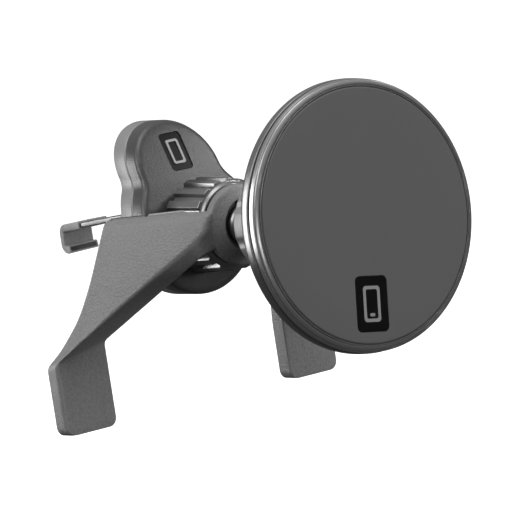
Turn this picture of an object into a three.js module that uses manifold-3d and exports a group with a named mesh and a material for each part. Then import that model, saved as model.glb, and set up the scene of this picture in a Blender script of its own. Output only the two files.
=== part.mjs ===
// Magnetic car phone mount for an air vent, in millimetres, +Z up, +Y from the driver towards the vent.
// The origin is on the rear pad of the clamp, on the axis of the knob: the face that rests on the vent.
// A clamp body carries a ribbed knob that pulls a steel hook, a two-legged support bracket that turns
// about the same axis, and a ball stud. The round magnetic head swivels on the ball.
import * as THREE from "three";
import { mergeVertices } from "three/addons/utils/BufferGeometryUtils.js";
import Module from "manifold-3d";

const wasm = await Module();
wasm.setup();

// Clearances: GAP between pieces that rest on each other, RUN between pieces that turn or slide.
const GAP = 0.3;
const RUN = 0.35;

// Clamp body: a large lobe round the axis and a smaller one above it that leans back.
const LOWER_LOBE_R = 15.1;
const UPPER_LOBE_R = 10.8;
const LOBE_SPACING = 12.5;
const WAIST_FILLET_R = 5;
const LEAN_START_Z = 3;
const LEAN_FULL_Z = 5;
const LEAN_SLOPE = 0.47;
const PAD_THICKNESS = 1;
const PAD_INSET = 1.6;
const REAR_SHELL_DEPTH = 4.4;
const FRONT_SHELL_DEPTH = 4;
const SHELL_WALL = 1.7;
const SHELL_BEVEL = 0.9;
const EMBLEM_WIDTH = 5.8;
const EMBLEM_HEIGHT = 8.3;
const EMBLEM_Z = 16.2;
const EMBLEM_DEPTH = 0.5;

// Knob and hub tube.
const HUB_R = 6.3;
const HUB_WALL = 1.7;
const HUB_BORE_R = HUB_R - HUB_WALL;
const HUB_FLANGE_R = HUB_R + 2.3;
const HUB_FLANGE_DEPTH = 1.8;
const HUB_NOSE_R = HUB_R - 1.4;
const HUB_NOSE_WALL = 4.6;
const KNOB_LENGTH = 12.2;
const KNOB_RIBS = 18;
const KNOB_RIB_DEPTH = 0.95;
const KNOB_WALL = 0.8;
const KNOB_LIP = 0.7;
const KNOB_THREAD_R = HUB_R + KNOB_WALL;
const KNOB_SKIRT_R = KNOB_THREAD_R + KNOB_WALL;
const KNOB_LIP_R = KNOB_SKIRT_R + KNOB_LIP;
const KNOB_R = KNOB_SKIRT_R + 2.55;
const KNOB_FRONT_R = KNOB_R - 0.35;
const KNOB_COLLAR = 1.6;

// Retaining clip in a groove of the hub's nose.
const CLIP_THICKNESS = 0.6;
const CLIP_R = HUB_NOSE_R + 0.55;
const CLIP_INNER_R = HUB_NOSE_R - 0.45;
const CLIP_FIT = 0.15;
const CLIP_GROOVE_R = CLIP_INNER_R - CLIP_FIT;
const CLIP_MOUTH = 3.2;

// Hook and its slider.
const WING_LENGTH = 4;
const WING_THICKNESS = 3;
const HOOK_TRAVEL = 10.5;
const HOOK_WIDTH = 7.2;
const TONGUE_WIDTH = 5.2;
const STRIP_THICKNESS = 1;
const STRIP_TOP_Z = HUB_BORE_R - 1.1;
const STRIP_BEND_Y = 9.5;
const STRIP_SLOPE = 0.1;
const HOOK_REACH = 38.4;
const HOOK_DROP = 6.3;
const HOOK_LIP = 2.2;
const HOOK_CURL = 0.15;
const SLEEVE_WALL = 0.4;
const SLEEVE_FIT = 0.08;
const HOOK_CORNER_R = 1.2;
const RIVET_R = 0.9;
const RIVET_HEAD_R = 1.4;
const RIVET_HEAD = 0.35;
const SLEEVE_LENGTH = 8;

// Support bracket: a ring on the hub, two arms with a side web, two feet.
const RING_R = KNOB_FRONT_R - 1.3;
const RING_FACE_R = RING_R - 0.6;
const RING_THICKNESS = 2.3;
const RING_NOSE_R = HUB_NOSE_R + 1;
const RING_NOSE = 1.5;
const RING_COUNTERBORE_R = HUB_NOSE_R + 0.85;
const RING_COUNTERBORE = 1.9;
const FOOT_OUTER_X = 37.8;
const FOOT_WIDTH = 13.6;
const FOOT_TOP_Z = -23.4;
const FOOT_TOP_RISE = 2.4;
const FOOT_BOTTOM_Z = -39.5;
const FOOT_THICKNESS = 4.2;
const FOOT_FRONT_Y = -1.5;
const FOOT_CORNER_R = 2;
const FOOT_PAD_THICKNESS = 1.2;
const FOOT_PAD_INSET = 1.5;
const WEB_WALL = 2.5;
const FLANGE_WALL = 2.3;

// Ball joint.
const BALL_R = 6.5;
const STEM_R = 2.9;
const STEM_FLARE_R = HUB_NOSE_R - 0.3;
const BALL_AHEAD = 12;
const LINER_WALL = 0.4;
const SEAT_WALL = 0.5;
const SEAT_FIT = 0.15;
const NECK_WALL = 1;
const NUT_WALL = 0.8;
const NUT_LENGTH = 9.4;
const NUT_FLUTES = 8;

// Magnetic head: radii, and depths measured back from its face.
const HEAD_R = 29;
const FACE_R = HEAD_R - 1.9;
const BALL_TO_FACE = 31.7;
const HEAD_TILT_DEG = 2.8;
const HEAD_PAN_DEG = 0.5;
const HEAD_ROLL_DEG = 8.5;
const FACE_PAD_DEPTH = 1;
const BEZEL_R = HEAD_R - 0.2;
const BEZEL_DEPTH = 2.3;
const CUP_SIDE_DEPTH = 2.15;
const BADGE_WIDTH = 8.2;
const BADGE_HEIGHT = 11.7;
const BADGE_BELOW_CENTRE = 18.6;
const BADGE_CORNER_R = 1.2;
const BADGE_DEPTH = 0.3;
const MAGNETS = 12;
const MAGNET_INNER_R = 18.5;
const MAGNET_OUTER_R = 24.5;
const MAGNET_DEPTH = 1.5;
const MAGNET_SPAN_DEG = 27;
const SHUNT_DEPTH = 0.7;
const HEAD_SCREWS = 3;
const HEAD_SCREW_CIRCLE_R = 12.5;

// Screws.
const SCREW_R = 0.9;
const SCREW_HEAD_R = 1.7;
const SCREW_HEAD = 1.1;
const HUB_SCREW_HEAD = 0.8;
const HUB_SCREW_CIRCLE_R = HUB_R + 0.6;
const HUB_SCREW_LENGTH = 3.4;
const SHELL_SCREW_LENGTH = 5.4;
const SHELL_SCREW_X = 6.2;
const SHELL_SCREW_Z = 12.6;

// Stations along the knob's axis, from the rear face (0) towards the driver (negative).
const REAR_SHELL_BACK = -PAD_THICKNESS;
const REAR_SHELL_FRONT = REAR_SHELL_BACK - REAR_SHELL_DEPTH;
const FRONT_SHELL_BACK = REAR_SHELL_FRONT - GAP / 3;
const FRONT_SHELL_FRONT = FRONT_SHELL_BACK - FRONT_SHELL_DEPTH - GAP;
const KNOB_BACK = FRONT_SHELL_FRONT - GAP;
const KNOB_FRONT = KNOB_BACK - KNOB_LENGTH;
const RING_BACK = KNOB_FRONT - GAP;
const RING_FRONT = RING_BACK - RING_THICKNESS;
const HUB_FLANGE_BACK = REAR_SHELL_BACK - SHELL_WALL - GAP;
const HUB_FLANGE_FRONT = HUB_FLANGE_BACK - HUB_FLANGE_DEPTH;
const HUB_SHOULDER = KNOB_FRONT;
const HUB_END = RING_FRONT - RING_NOSE + RING_COUNTERBORE / 2;
const HUB_BORE_END = HUB_END + HUB_NOSE_WALL;
const KNOB_SKIRT_BACK = HUB_FLANGE_FRONT - RUN;
const KNOB_LIP_FRONT = KNOB_SKIRT_BACK - KNOB_LIP;
const WING_BACK = HUB_FLANGE_FRONT - RUN;
const WING_REACH = KNOB_THREAD_R - RUN;
const RIVET_Y = WING_BACK - WING_LENGTH / 2;
const CLIP_BACK = RING_FRONT - RING_NOSE + RING_COUNTERBORE - GAP;
const PAD_FRONT = REAR_SHELL_BACK + GAP / 3;
const SHELL_SCREW_BACK = REAR_SHELL_BACK - 1.15;
const HUB_SCREW_BACK = REAR_SHELL_BACK - 0.1;

// The hook's wide part stays behind the hub tube when the hook is pulled all the way in.
const WIDE_START_Y = HOOK_TRAVEL + HUB_FLANGE_FRONT + 2 * RUN;

// The slot the hook's strip runs in, through the rear shell and the hub's flange.
const STRIP_SLOT_LOW = STRIP_TOP_Z - STRIP_THICKNESS - 1.4;
const STRIP_SLOT_HIGH = STRIP_TOP_Z + 0.5;
const STRIP_SLOT_HALF = HOOK_WIDTH / 2 + 0.4;
const WING_SLOT_HALF = WING_THICKNESS / 2 + RUN / 2;
const BALL_Y = RING_FRONT - BALL_AHEAD;

const PLASTIC_DARK = { color: 0x3a3a3c, roughness: 0.55, metalness: 0 };
const PLASTIC_GREY = { color: 0x7c7d80, roughness: 0.45, metalness: 0.1 };
const SATIN_METAL = { color: 0x8e8f92, roughness: 0.35, metalness: 0.8 };
const STEEL = { color: 0xb4b6b8, roughness: 0.3, metalness: 1 };
const RUBBER = { color: 0x2a2a2b, roughness: 0.9, metalness: 0 };
const FACE_GREY = { color: 0x626366, roughness: 0.7, metalness: 0 };
const GLOSS_BLACK = { color: 0x0c0c0d, roughness: 0.15, metalness: 0 };

// ---- Closed solids from three.js geometry ----

// A closed solid: shared vertices merged and collapsed triangles dropped.
function solid(geometry) {
  const open = geometry.index ? geometry.toNonIndexed() : geometry;
  const bare = new THREE.BufferGeometry();
  bare.setAttribute("position", open.getAttribute("position"));
  const merged = mergeVertices(bare, 1e-4);
  const index = merged.index.array;
  const kept = [];
  for (let i = 0; i < index.length; i += 3) {
    const [a, b, c] = [index[i], index[i + 1], index[i + 2]];
    if (a !== b && b !== c && a !== c) kept.push(a, b, c);
  }
  const mesh = new wasm.Mesh({
    numProp: 3,
    vertProperties: merged.attributes.position.array,
    triVerts: new Uint32Array(kept),
  });
  return new wasm.Manifold(mesh);
}

function geometryOf(made) {
  const mesh = made.getMesh();
  const geometry = new THREE.BufferGeometry();
  geometry.setAttribute("position", new THREE.BufferAttribute(mesh.vertProperties.slice(), 3));
  geometry.setIndex(new THREE.BufferAttribute(mesh.triVerts.slice(), 1));
  geometry.computeVertexNormals();
  return geometry;
}

function box(from, to) {
  const [x, y, z] = to.map((value, i) => value - from[i]);
  const geometry = new THREE.BoxGeometry(x, y, z);
  geometry.translate(from[0] + x / 2, from[1] + y / 2, from[2] + z / 2);
  return solid(geometry);
}

// A solid of revolution about the Y axis from [radius, y] pairs, listed in either direction.
function turned(profile, segments = 32) {
  const closed = profile[0][0] === 0 ? profile : [...profile, profile[0]];
  let area = 0;
  profile.forEach(([r, y], i) => {
    const [nextR, nextY] = profile[(i + 1) % profile.length];
    area += r * nextY - nextR * y;
  });
  const ordered = area > 0 ? closed : [...closed].reverse();
  return solid(new THREE.LatheGeometry(ordered.map(([r, y]) => new THREE.Vector2(r, y)), segments));
}

function rod(radius, y0, y1, x = 0, z = 0, segments = 16) {
  const geometry = new THREE.CylinderGeometry(radius, radius, y1 - y0, segments);
  geometry.translate(x, (y0 + y1) / 2, z);
  return solid(geometry);
}

// An outline drawn in X and Z, extruded along Y from front to back.
function slab(shape, front, back, curveSegments = 7) {
  const options = { depth: back - front, bevelEnabled: false, curveSegments };
  const geometry = new THREE.ExtrudeGeometry(shape, options);
  geometry.rotateX(Math.PI / 2);
  geometry.translate(0, back, 0);
  return solid(geometry);
}

// The same with the front edge rounded; the rear edge stays sharp.
function roundedSlab(shape, front, back, radius, curveSegments = 7) {
  const options = {
    depth: back - front - radius,
    bevelThickness: radius,
    bevelSize: radius,
    bevelOffset: -radius,
    bevelSegments: 2,
    curveSegments,
  };
  const geometry = new THREE.ExtrudeGeometry(shape, options);
  geometry.rotateX(Math.PI / 2);
  geometry.translate(0, back, 0);
  const behind = box([-200, back, -200], [200, back + 2 * radius, 200]);
  return solid(geometry).subtract(behind);
}

function roundedRectangle(width, height, radius, x = 0, z = 0) {
  const [w, h] = [width / 2 - radius, height / 2 - radius];
  const shape = new THREE.Shape();
  shape.absarc(x + w, z + h, radius, 0, Math.PI / 2);
  shape.absarc(x - w, z + h, radius, Math.PI / 2, Math.PI);
  shape.absarc(x - w, z - h, radius, Math.PI, 1.5 * Math.PI);
  shape.absarc(x + w, z - h, radius, 1.5 * Math.PI, 2 * Math.PI);
  return shape;
}

// Changes each vertex of a solid, keeping its triangles.
function reshaped(made, change) {
  const geometry = geometryOf(made);
  const place = geometry.getAttribute("position");
  const point = new THREE.Vector3();
  for (let i = 0; i < place.count; i++) {
    point.fromBufferAttribute(place, i);
    change(point);
    place.setXYZ(i, point.x, point.y, point.z);
  }
  return solid(geometry);
}

function mirrored(made) {
  const geometry = geometryOf(made).toNonIndexed();
  geometry.scale(-1, 1, 1);
  const place = geometry.getAttribute("position").array;
  for (let i = 0; i < place.length; i += 9) {
    for (let k = 0; k < 3; k++) [place[i + k], place[i + 3 + k]] = [place[i + 3 + k], place[i + k]];
  }
  return solid(geometry);
}

// Sections with the same number of points, joined in order. The ends are fans from each first point.
function lofted(sections) {
  const count = sections[0].length;
  const triangles = [];
  for (let s = 0; s + 1 < sections.length; s++) {
    for (let i = 0; i < count; i++) {
      const [a, b] = [s * count + i, s * count + ((i + 1) % count)];
      triangles.push(a, b, b + count, a, b + count, a + count);
    }
  }
  const last = (sections.length - 1) * count;
  for (let i = 1; i + 1 < count; i++) {
    triangles.push(0, i + 1, i);
    triangles.push(last, last + i, last + i + 1);
  }
  const geometry = new THREE.BufferGeometry();
  geometry.setAttribute("position", new THREE.Float32BufferAttribute(sections.flat(2), 3));
  geometry.setIndex(triangles);
  return solid(geometry);
}

const mount = new THREE.Group();
const head = new THREE.Group();
head.position.set(0, BALL_Y, 0);
head.rotation.order = "ZXY";
head.rotation.set(
  THREE.MathUtils.degToRad(-HEAD_TILT_DEG),
  THREE.MathUtils.degToRad(HEAD_ROLL_DEG),
  THREE.MathUtils.degToRad(-HEAD_PAN_DEG),
);
mount.add(head);

function place(group, name, made, look) {
  const mesh = new THREE.Mesh(geometryOf(made), new THREE.MeshStandardMaterial(look));
  mesh.name = name;
  group.add(mesh);
}

// ---- Clamp body ----

// The two-lobed outline, grown or shrunk by an offset.
function clampOutline(offset = 0) {
  const lower = LOWER_LOBE_R + offset;
  const upper = UPPER_LOBE_R + offset;
  const waist = WAIST_FILLET_R - offset;
  const [d1, d2] = [lower + waist, upper + waist];
  const waistZ = (d1 * d1 - d2 * d2 + LOBE_SPACING * LOBE_SPACING) / (2 * LOBE_SPACING);
  const waistX = Math.sqrt(d1 * d1 - waistZ * waistZ);
  const low = Math.atan2(waistZ, waistX);
  const high = Math.atan2(waistZ - LOBE_SPACING, waistX);
  const shape = new THREE.Shape();
  shape.absarc(0, 0, lower, Math.PI - low, 2 * Math.PI + low);
  shape.absarc(waistX, waistZ, waist, Math.PI + low, Math.PI + high, true);
  shape.absarc(0, LOBE_SPACING, upper, high, Math.PI - high);
  shape.absarc(-waistX, waistZ, waist, -high, -low, true);
  return shape;
}

function leanAt(z) {
  const part = THREE.MathUtils.clamp((z - LEAN_START_Z) / (LEAN_FULL_Z - LEAN_START_Z), 0, 1);
  const beyond = Math.max(0, z - LEAN_FULL_Z);
  return LEAN_SLOPE * (part * (LEAN_FULL_Z - LEAN_START_Z) * 0.5 + beyond);
}

// Leans the upper lobe back: the solid is cut at the bend, each slice is sheared and joined again.
function leaned(made) {
  const cuts = [-100, LEAN_START_Z, LEAN_FULL_Z, 100];
  const slices = [];
  for (let i = 0; i + 1 < cuts.length; i++) {
    const slice = made.intersect(box([-100, -100, cuts[i]], [100, 100, cuts[i + 1]]));
    if (slice.isEmpty()) continue;
    slices.push(reshaped(slice, (point) => (point.y += leanAt(point.z))));
  }
  return slices.reduce((whole, slice) => whole.add(slice));
}

const shellScrews = [-SHELL_SCREW_X, SHELL_SCREW_X];
const SHELL_SCREW_LEAN = leanAt(SHELL_SCREW_Z);

function clampFrontShell() {
  const outer = roundedSlab(clampOutline(), FRONT_SHELL_FRONT, FRONT_SHELL_BACK, SHELL_BEVEL);
  const inside = slab(clampOutline(-SHELL_WALL), FRONT_SHELL_FRONT + SHELL_WALL, FRONT_SHELL_BACK + 1);
  const knobHole = rod(KNOB_SKIRT_R + RUN, FRONT_SHELL_FRONT - 1, FRONT_SHELL_BACK + 1, 0, 0, 32);
  const emblem = slab(
    roundedRectangle(EMBLEM_WIDTH, EMBLEM_HEIGHT, 0.9, 0, EMBLEM_Z),
    FRONT_SHELL_FRONT - 1,
    FRONT_SHELL_FRONT + EMBLEM_DEPTH,
    4,
  );
  let shell = outer.subtract(inside).subtract(knobHole).subtract(emblem);
  for (const x of shellScrews) {
    const boss = rod(2.2, FRONT_SHELL_FRONT + 1, FRONT_SHELL_BACK, x, SHELL_SCREW_Z);
    shell = shell.add(boss.intersect(outer));
  }
  shell = leaned(shell).subtract(rod(KNOB_LIP_R + RUN, KNOB_LIP_FRONT - RUN, 5, 0, 0, 32));
  for (const x of shellScrews) {
    const pilotFront = FRONT_SHELL_FRONT + SHELL_WALL + SHELL_SCREW_LEAN;
    shell = shell.subtract(rod(SCREW_R + GAP, pilotFront, 10, x, SHELL_SCREW_Z));
  }
  return shell;
}

function stripSlot(front, back) {
  return box([-STRIP_SLOT_HALF, front, STRIP_SLOT_LOW], [STRIP_SLOT_HALF, back, STRIP_SLOT_HIGH]);
}

const hubScrewPlaces = [-22, 202, 270].map((degrees) => {
  const angle = THREE.MathUtils.degToRad(degrees);
  return [HUB_SCREW_CIRCLE_R * Math.cos(angle), HUB_SCREW_CIRCLE_R * Math.sin(angle)];
});

function clampRearShell() {
  const outer = slab(clampOutline(), REAR_SHELL_FRONT, REAR_SHELL_BACK);
  const inside = slab(clampOutline(-SHELL_WALL), REAR_SHELL_FRONT - 1, REAR_SHELL_BACK - SHELL_WALL);
  let shell = outer.subtract(inside).subtract(stripSlot(REAR_SHELL_BACK - 5, REAR_SHELL_BACK + 1));
  for (const x of shellScrews) {
    shell = shell.add(rod(2.6, REAR_SHELL_FRONT, REAR_SHELL_BACK - 1, x, SHELL_SCREW_Z));
  }
  shell = leaned(shell);
  for (const x of shellScrews) {
    const seatFront = SHELL_SCREW_BACK - SCREW_HEAD - GAP + SHELL_SCREW_LEAN;
    shell = shell.subtract(rod(SCREW_R + GAP, -20, 20, x, SHELL_SCREW_Z));
    shell = shell.subtract(rod(SCREW_HEAD_R + GAP, seatFront, 20, x, SHELL_SCREW_Z));
  }
  for (const [x, z] of hubScrewPlaces) {
    const seatFront = HUB_SCREW_BACK - HUB_SCREW_HEAD - GAP;
    shell = shell.subtract(rod(SCREW_R + GAP, REAR_SHELL_BACK - SHELL_WALL - 1, 1, x, z));
    shell = shell.subtract(rod(SCREW_HEAD_R + GAP, seatFront, 1, x, z));
  }
  return shell;
}

function lowerPad() {
  const whole = slab(clampOutline(-PAD_INSET), PAD_FRONT, 0);
  const low = whole.intersect(box([-50, -50, -50], [50, 50, STRIP_SLOT_LOW - 0.6]));
  return low;
}

function upperPad() {
  const whole = slab(clampOutline(-PAD_INSET), PAD_FRONT, 0);
  return leaned(whole.intersect(box([-50, -50, STRIP_SLOT_HIGH + 1.6], [50, 50, 50])));
}

function screw(x, z, headBack, length, headDepth) {
  const shank = rod(SCREW_R, headBack - length, headBack - headDepth / 2, x, z, 12);
  const cap = rod(SCREW_HEAD_R, headBack - headDepth, headBack, x, z, 16);
  const drive = rod(0.7, headBack - headDepth / 2, headBack + 1, x, z, 6);
  return cap.add(shank).subtract(drive);
}

// ---- Hub tube, knob, ball stud ----

function hubCore() {
  const profile = [
    [HUB_BORE_R, HUB_FLANGE_BACK],
    [HUB_FLANGE_R, HUB_FLANGE_BACK],
    [HUB_FLANGE_R, HUB_FLANGE_FRONT],
    [HUB_R, HUB_FLANGE_FRONT],
    [HUB_R, HUB_SHOULDER],
    [HUB_NOSE_R, HUB_SHOULDER],
    [HUB_NOSE_R, HUB_END],
    [2.6, HUB_END],
    [2.6, HUB_BORE_END],
    [HUB_BORE_R, HUB_BORE_END],
  ];
  let core = turned(profile);
  const wingSlots = box(
    [-2 * HUB_R, HUB_BORE_END + GAP, -WING_SLOT_HALF],
    [2 * HUB_R, HUB_FLANGE_FRONT - RUN / 2, WING_SLOT_HALF],
  );
  const hookSlot = box(
    [-STRIP_SLOT_HALF, HUB_FLANGE_FRONT - 0.01, 0],
    [STRIP_SLOT_HALF, 0, STRIP_SLOT_HIGH],
  );
  core = core.subtract(wingSlots).subtract(hookSlot);
  const groove = [
    [CLIP_GROOVE_R, CLIP_BACK + CLIP_FIT],
    [HUB_NOSE_R + 1, CLIP_BACK + CLIP_FIT],
    [HUB_NOSE_R + 1, CLIP_BACK - CLIP_THICKNESS - CLIP_FIT],
    [CLIP_GROOVE_R, CLIP_BACK - CLIP_THICKNESS - CLIP_FIT],
  ];
  core = core.subtract(turned(groove));
  for (const [x, z] of hubScrewPlaces) {
    core = core.subtract(rod(SCREW_R + GAP, HUB_FLANGE_FRONT - 1, HUB_FLANGE_BACK + 1, x, z));
  }
  return core;
}

function retainingClip() {
  const ring = turned(
    [
      [CLIP_INNER_R, CLIP_BACK],
      [CLIP_R, CLIP_BACK],
      [CLIP_R, CLIP_BACK - CLIP_THICKNESS],
      [CLIP_INNER_R, CLIP_BACK - CLIP_THICKNESS],
    ],
    32,
  );
  return ring.subtract(box([-CLIP_MOUTH / 2, CLIP_BACK - 5, 0], [CLIP_MOUTH / 2, CLIP_BACK + 5, 10]));
}

// The ribbed outline: wide crests with narrow rounded flutes between them.
function ribbedOutline(radius, ribs, depth) {
  const shape = new THREE.Shape();
  const step = (2 * Math.PI) / ribs;
  for (let i = 0; i < ribs; i++) {
    const turns = [
      [0.0, radius],
      [0.24, radius],
      [0.46, radius - 0.25 * depth],
      [0.6, radius - depth],
      [0.82, radius - depth],
      [0.93, radius - 0.3 * depth],
    ];
    for (const [share, r] of turns) {
      const angle = (i + share) * step;
      const [x, z] = [r * Math.cos(angle), r * Math.sin(angle)];
      if (i === 0 && share === 0) shape.moveTo(x, z);
      else shape.lineTo(x, z);
    }
  }
  shape.closePath();
  return shape;
}

function knob() {
  const ribs = slab(ribbedOutline(KNOB_R, KNOB_RIBS, KNOB_RIB_DEPTH), KNOB_FRONT + 0.9, KNOB_BACK);
  const taper = (KNOB_R - KNOB_FRONT_R) / KNOB_LENGTH;
  const grip = reshaped(ribs, (point) => {
    const scale = 1 - (taper * (KNOB_BACK - point.y)) / KNOB_R;
    point.x *= scale;
    point.z *= scale;
  });
  const sleeve = turned(
    [
      [KNOB_THREAD_R, KNOB_SKIRT_BACK],
      [KNOB_LIP_R, KNOB_SKIRT_BACK],
      [KNOB_LIP_R, KNOB_LIP_FRONT],
      [KNOB_SKIRT_R, KNOB_LIP_FRONT],
      [KNOB_SKIRT_R, KNOB_BACK - 0.5],
      [KNOB_FRONT_R - 0.6, KNOB_BACK - 0.5],
      [KNOB_FRONT_R - 0.6, KNOB_FRONT + 0.9],
      [RING_R, KNOB_FRONT],
      [HUB_R + RUN, KNOB_FRONT],
      [HUB_R + RUN, KNOB_FRONT + KNOB_COLLAR],
      [KNOB_THREAD_R, KNOB_FRONT + KNOB_COLLAR],
    ],
    32,
  );
  const bore = rod(KNOB_THREAD_R - 0.01, KNOB_FRONT + KNOB_COLLAR, KNOB_BACK + 5, 0, 0, 32);
  const hole = rod(HUB_R + RUN, KNOB_FRONT - 1, KNOB_BACK + 5, 0, 0, 32);
  return grip.subtract(bore).subtract(hole).add(sleeve);
}

function ballStud() {
  const ball = [];
  const neck = Math.asin(STEM_R / BALL_R);
  for (let i = 0; i <= 7; i++) {
    const angle = Math.PI - ((Math.PI - neck) * i) / 7;
    ball.push([BALL_R * Math.sin(angle), BALL_Y + BALL_R * Math.cos(angle)]);
  }
  ball[0][0] = 0;
  const base = HUB_END - GAP;
  return turned(
    [
      ...ball,
      [STEM_R, base - 4.2],
      [STEM_R + 0.4, base - 2.4],
      [STEM_FLARE_R, base - 0.7],
      [STEM_FLARE_R, base],
      [2.3, base],
      [2.3, HUB_BORE_END - 1],
      [0, HUB_BORE_END - 1],
    ],
    24,
  );
}

// ---- Hook ----

function slider() {
  const block = rod(HUB_BORE_R - RUN, WING_BACK - WING_LENGTH, WING_BACK, 0, 0, 32);
  const wings = box(
    [-WING_REACH, WING_BACK - WING_LENGTH, -WING_THICKNESS / 2],
    [WING_REACH, WING_BACK, WING_THICKNESS / 2],
  );
  const round = rod(WING_REACH, WING_BACK - WING_LENGTH - 1, WING_BACK + 1, 0, 0, 32);
  const seat = box(
    [-10, WING_BACK - WING_LENGTH - 1, STRIP_TOP_Z - STRIP_THICKNESS - GAP],
    [10, WING_BACK + 1, 10],
  );
  return block.add(wings.intersect(round)).subtract(seat);
}

// The hook's side profile in Y and Z, thickened downwards from its top line, extruded across X.
function sideProfile(points, width) {
  const shape = new THREE.Shape(points.map(([y, z]) => new THREE.Vector2(y, z)));
  const geometry = new THREE.ExtrudeGeometry(shape, { depth: width, bevelEnabled: false });
  geometry.applyMatrix4(new THREE.Matrix4().makeBasis(
    new THREE.Vector3(0, 1, 0),
    new THREE.Vector3(0, 0, 1),
    new THREE.Vector3(1, 0, 0),
  ));
  geometry.translate(-width / 2, 0, 0);
  return solid(geometry);
}

function stripTopAt(y) {
  return STRIP_TOP_Z - STRIP_SLOPE * Math.max(0, y - STRIP_BEND_Y);
}

// The hook bend as an outline: top line out to the rear wall, round the corner, down and forward.
function hookBend(grow, startY) {
  const thick = STRIP_THICKNESS / 2 + grow;
  const corner = HOOK_CORNER_R;
  const wallY = HOOK_REACH - SLEEVE_WALL - STRIP_THICKNESS / 2;
  const middle = stripTopAt(wallY - corner) - STRIP_THICKNESS / 2;
  const bottom = middle - HOOK_DROP + SLEEVE_WALL + STRIP_THICKNESS;
  const line = [[startY, stripTopAt(startY) - STRIP_THICKNESS / 2]];
  for (const turn of [90, 60, 30, 0]) {
    const angle = THREE.MathUtils.degToRad(turn);
    line.push([wallY - corner + corner * Math.cos(angle), middle - corner + corner * Math.sin(angle)]);
  }
  for (const turn of [0, -30, -60, -90]) {
    const angle = THREE.MathUtils.degToRad(turn);
    line.push([wallY - corner + corner * Math.cos(angle), bottom + corner + corner * Math.sin(angle)]);
  }
  line.push([wallY - HOOK_LIP, bottom + HOOK_CURL]);
  const sides = [[], []];
  line.forEach(([y, z], i) => {
    const [beforeY, beforeZ] = line[Math.max(0, i - 1)];
    const [afterY, afterZ] = line[Math.min(line.length - 1, i + 1)];
    const length = Math.hypot(afterY - beforeY, afterZ - beforeZ);
    const [ny, nz] = [-(afterZ - beforeZ) / length, (afterY - beforeY) / length];
    sides[0].push([y + ny * thick, z + nz * thick]);
    sides[1].push([y - ny * thick, z - nz * thick]);
  });
  return [...sides[0], ...sides[1].reverse()];
}

function hookStrip() {
  const bend = sideProfile(hookBend(0, STRIP_BEND_Y), HOOK_WIDTH);
  const tongueFront = WING_BACK - WING_LENGTH;
  const low = STRIP_TOP_Z - STRIP_THICKNESS;
  const halfStrip = HOOK_WIDTH / 2;
  const halfTongue = TONGUE_WIDTH / 2;
  const strip = box([-halfStrip, WIDE_START_Y, low], [halfStrip, STRIP_BEND_Y + 0.05, STRIP_TOP_Z]);
  const tongue = box([-halfTongue, tongueFront, low], [halfTongue, WIDE_START_Y + 1, STRIP_TOP_Z]);
  const rivetHole = new THREE.CylinderGeometry(RIVET_R + GAP, RIVET_R + GAP, 6, 12);
  rivetHole.rotateX(Math.PI / 2);
  rivetHole.translate(0, RIVET_Y, STRIP_TOP_Z);
  return bend.add(strip).add(tongue).subtract(solid(rivetHole));
}

function rivet() {
  const shank = new THREE.CylinderGeometry(RIVET_R, RIVET_R, STRIP_THICKNESS + RIVET_HEAD, 12);
  shank.rotateX(Math.PI / 2);
  shank.translate(0, RIVET_Y, STRIP_TOP_Z - STRIP_THICKNESS / 2 + GAP);
  const cap = new THREE.CylinderGeometry(RIVET_HEAD_R, RIVET_HEAD_R, RIVET_HEAD, 12);
  cap.rotateX(Math.PI / 2);
  cap.translate(0, RIVET_Y, STRIP_TOP_Z + GAP + RIVET_HEAD / 2);
  return solid(shank).add(solid(cap)).intersect(rod(HUB_BORE_R - 0.15, -60, 10, 0, 0, 32));
}

function hookSleeve() {
  const start = HOOK_REACH - SLEEVE_LENGTH;
  const outer = sideProfile(hookBend(SLEEVE_WALL, start), HOOK_WIDTH + 2 * SLEEVE_WALL);
  const inner = sideProfile(hookBend(SLEEVE_FIT, start - 1), HOOK_WIDTH + 2 * SLEEVE_FIT);
  const tip = box([-10, 0, -20], [10, start - 0.001, 20]);
  return outer.subtract(inner).subtract(tip);
}

// ---- Support bracket ----

// Stations down the left arm: outer front edge, outer rear edge and inner front edge.
function armStations() {
  const kink = [-10.6, RING_FRONT, 0];
  const footOuter = [-FOOT_OUTER_X, FOOT_FRONT_Y, FOOT_TOP_Z];
  const footInner = [-FOOT_OUTER_X + FOOT_WIDTH, FOOT_FRONT_Y, FOOT_TOP_Z + FOOT_TOP_RISE];
  const along = (from, to, share) => from.map((value, i) => value + (to[i] - value) * share);
  const rearTop = [-0.566 * FOOT_OUTER_X, FOOT_FRONT_Y - 2.4, 5.1];
  const rearMiddle = [-0.749 * FOOT_OUTER_X, FOOT_FRONT_Y - 2.4, -8.4];
  const rearFoot = [-FOOT_OUTER_X, FOOT_FRONT_Y + FOOT_THICKNESS, FOOT_TOP_Z - 1];
  const innerStart = [-11.2, RING_FRONT + 1, -5];
  return [
    { front: [-8.1, RING_FRONT, 4.8], rear: rearTop, inner: [-4, RING_FRONT, 5] },
    { front: kink, rear: along(rearTop, rearMiddle, 0.36), inner: [-6, RING_FRONT, -3.4] },
    { front: along(kink, footOuter, 0.08), rear: along(rearTop, rearMiddle, 0.52), inner: innerStart },
    { front: along(kink, footOuter, 0.36), rear: rearMiddle, inner: along(innerStart, footInner, 0.3) },
    {
      front: along(kink, footOuter, 0.66),
      rear: along(rearMiddle, rearFoot, 0.4).map((v, i) => v + [0.3, -0.9, -0.4][i]),
      inner: along(innerStart, footInner, 0.64),
    },
    {
      front: along(kink, footOuter, 0.9),
      rear: along(rearMiddle, rearFoot, 0.78).map((v, i) => v + [0.2, -0.9, -0.5][i]),
      inner: along(innerStart, footInner, 0.9),
    },
    { front: footOuter, rear: rearFoot, inner: footInner },
  ];
}

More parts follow.
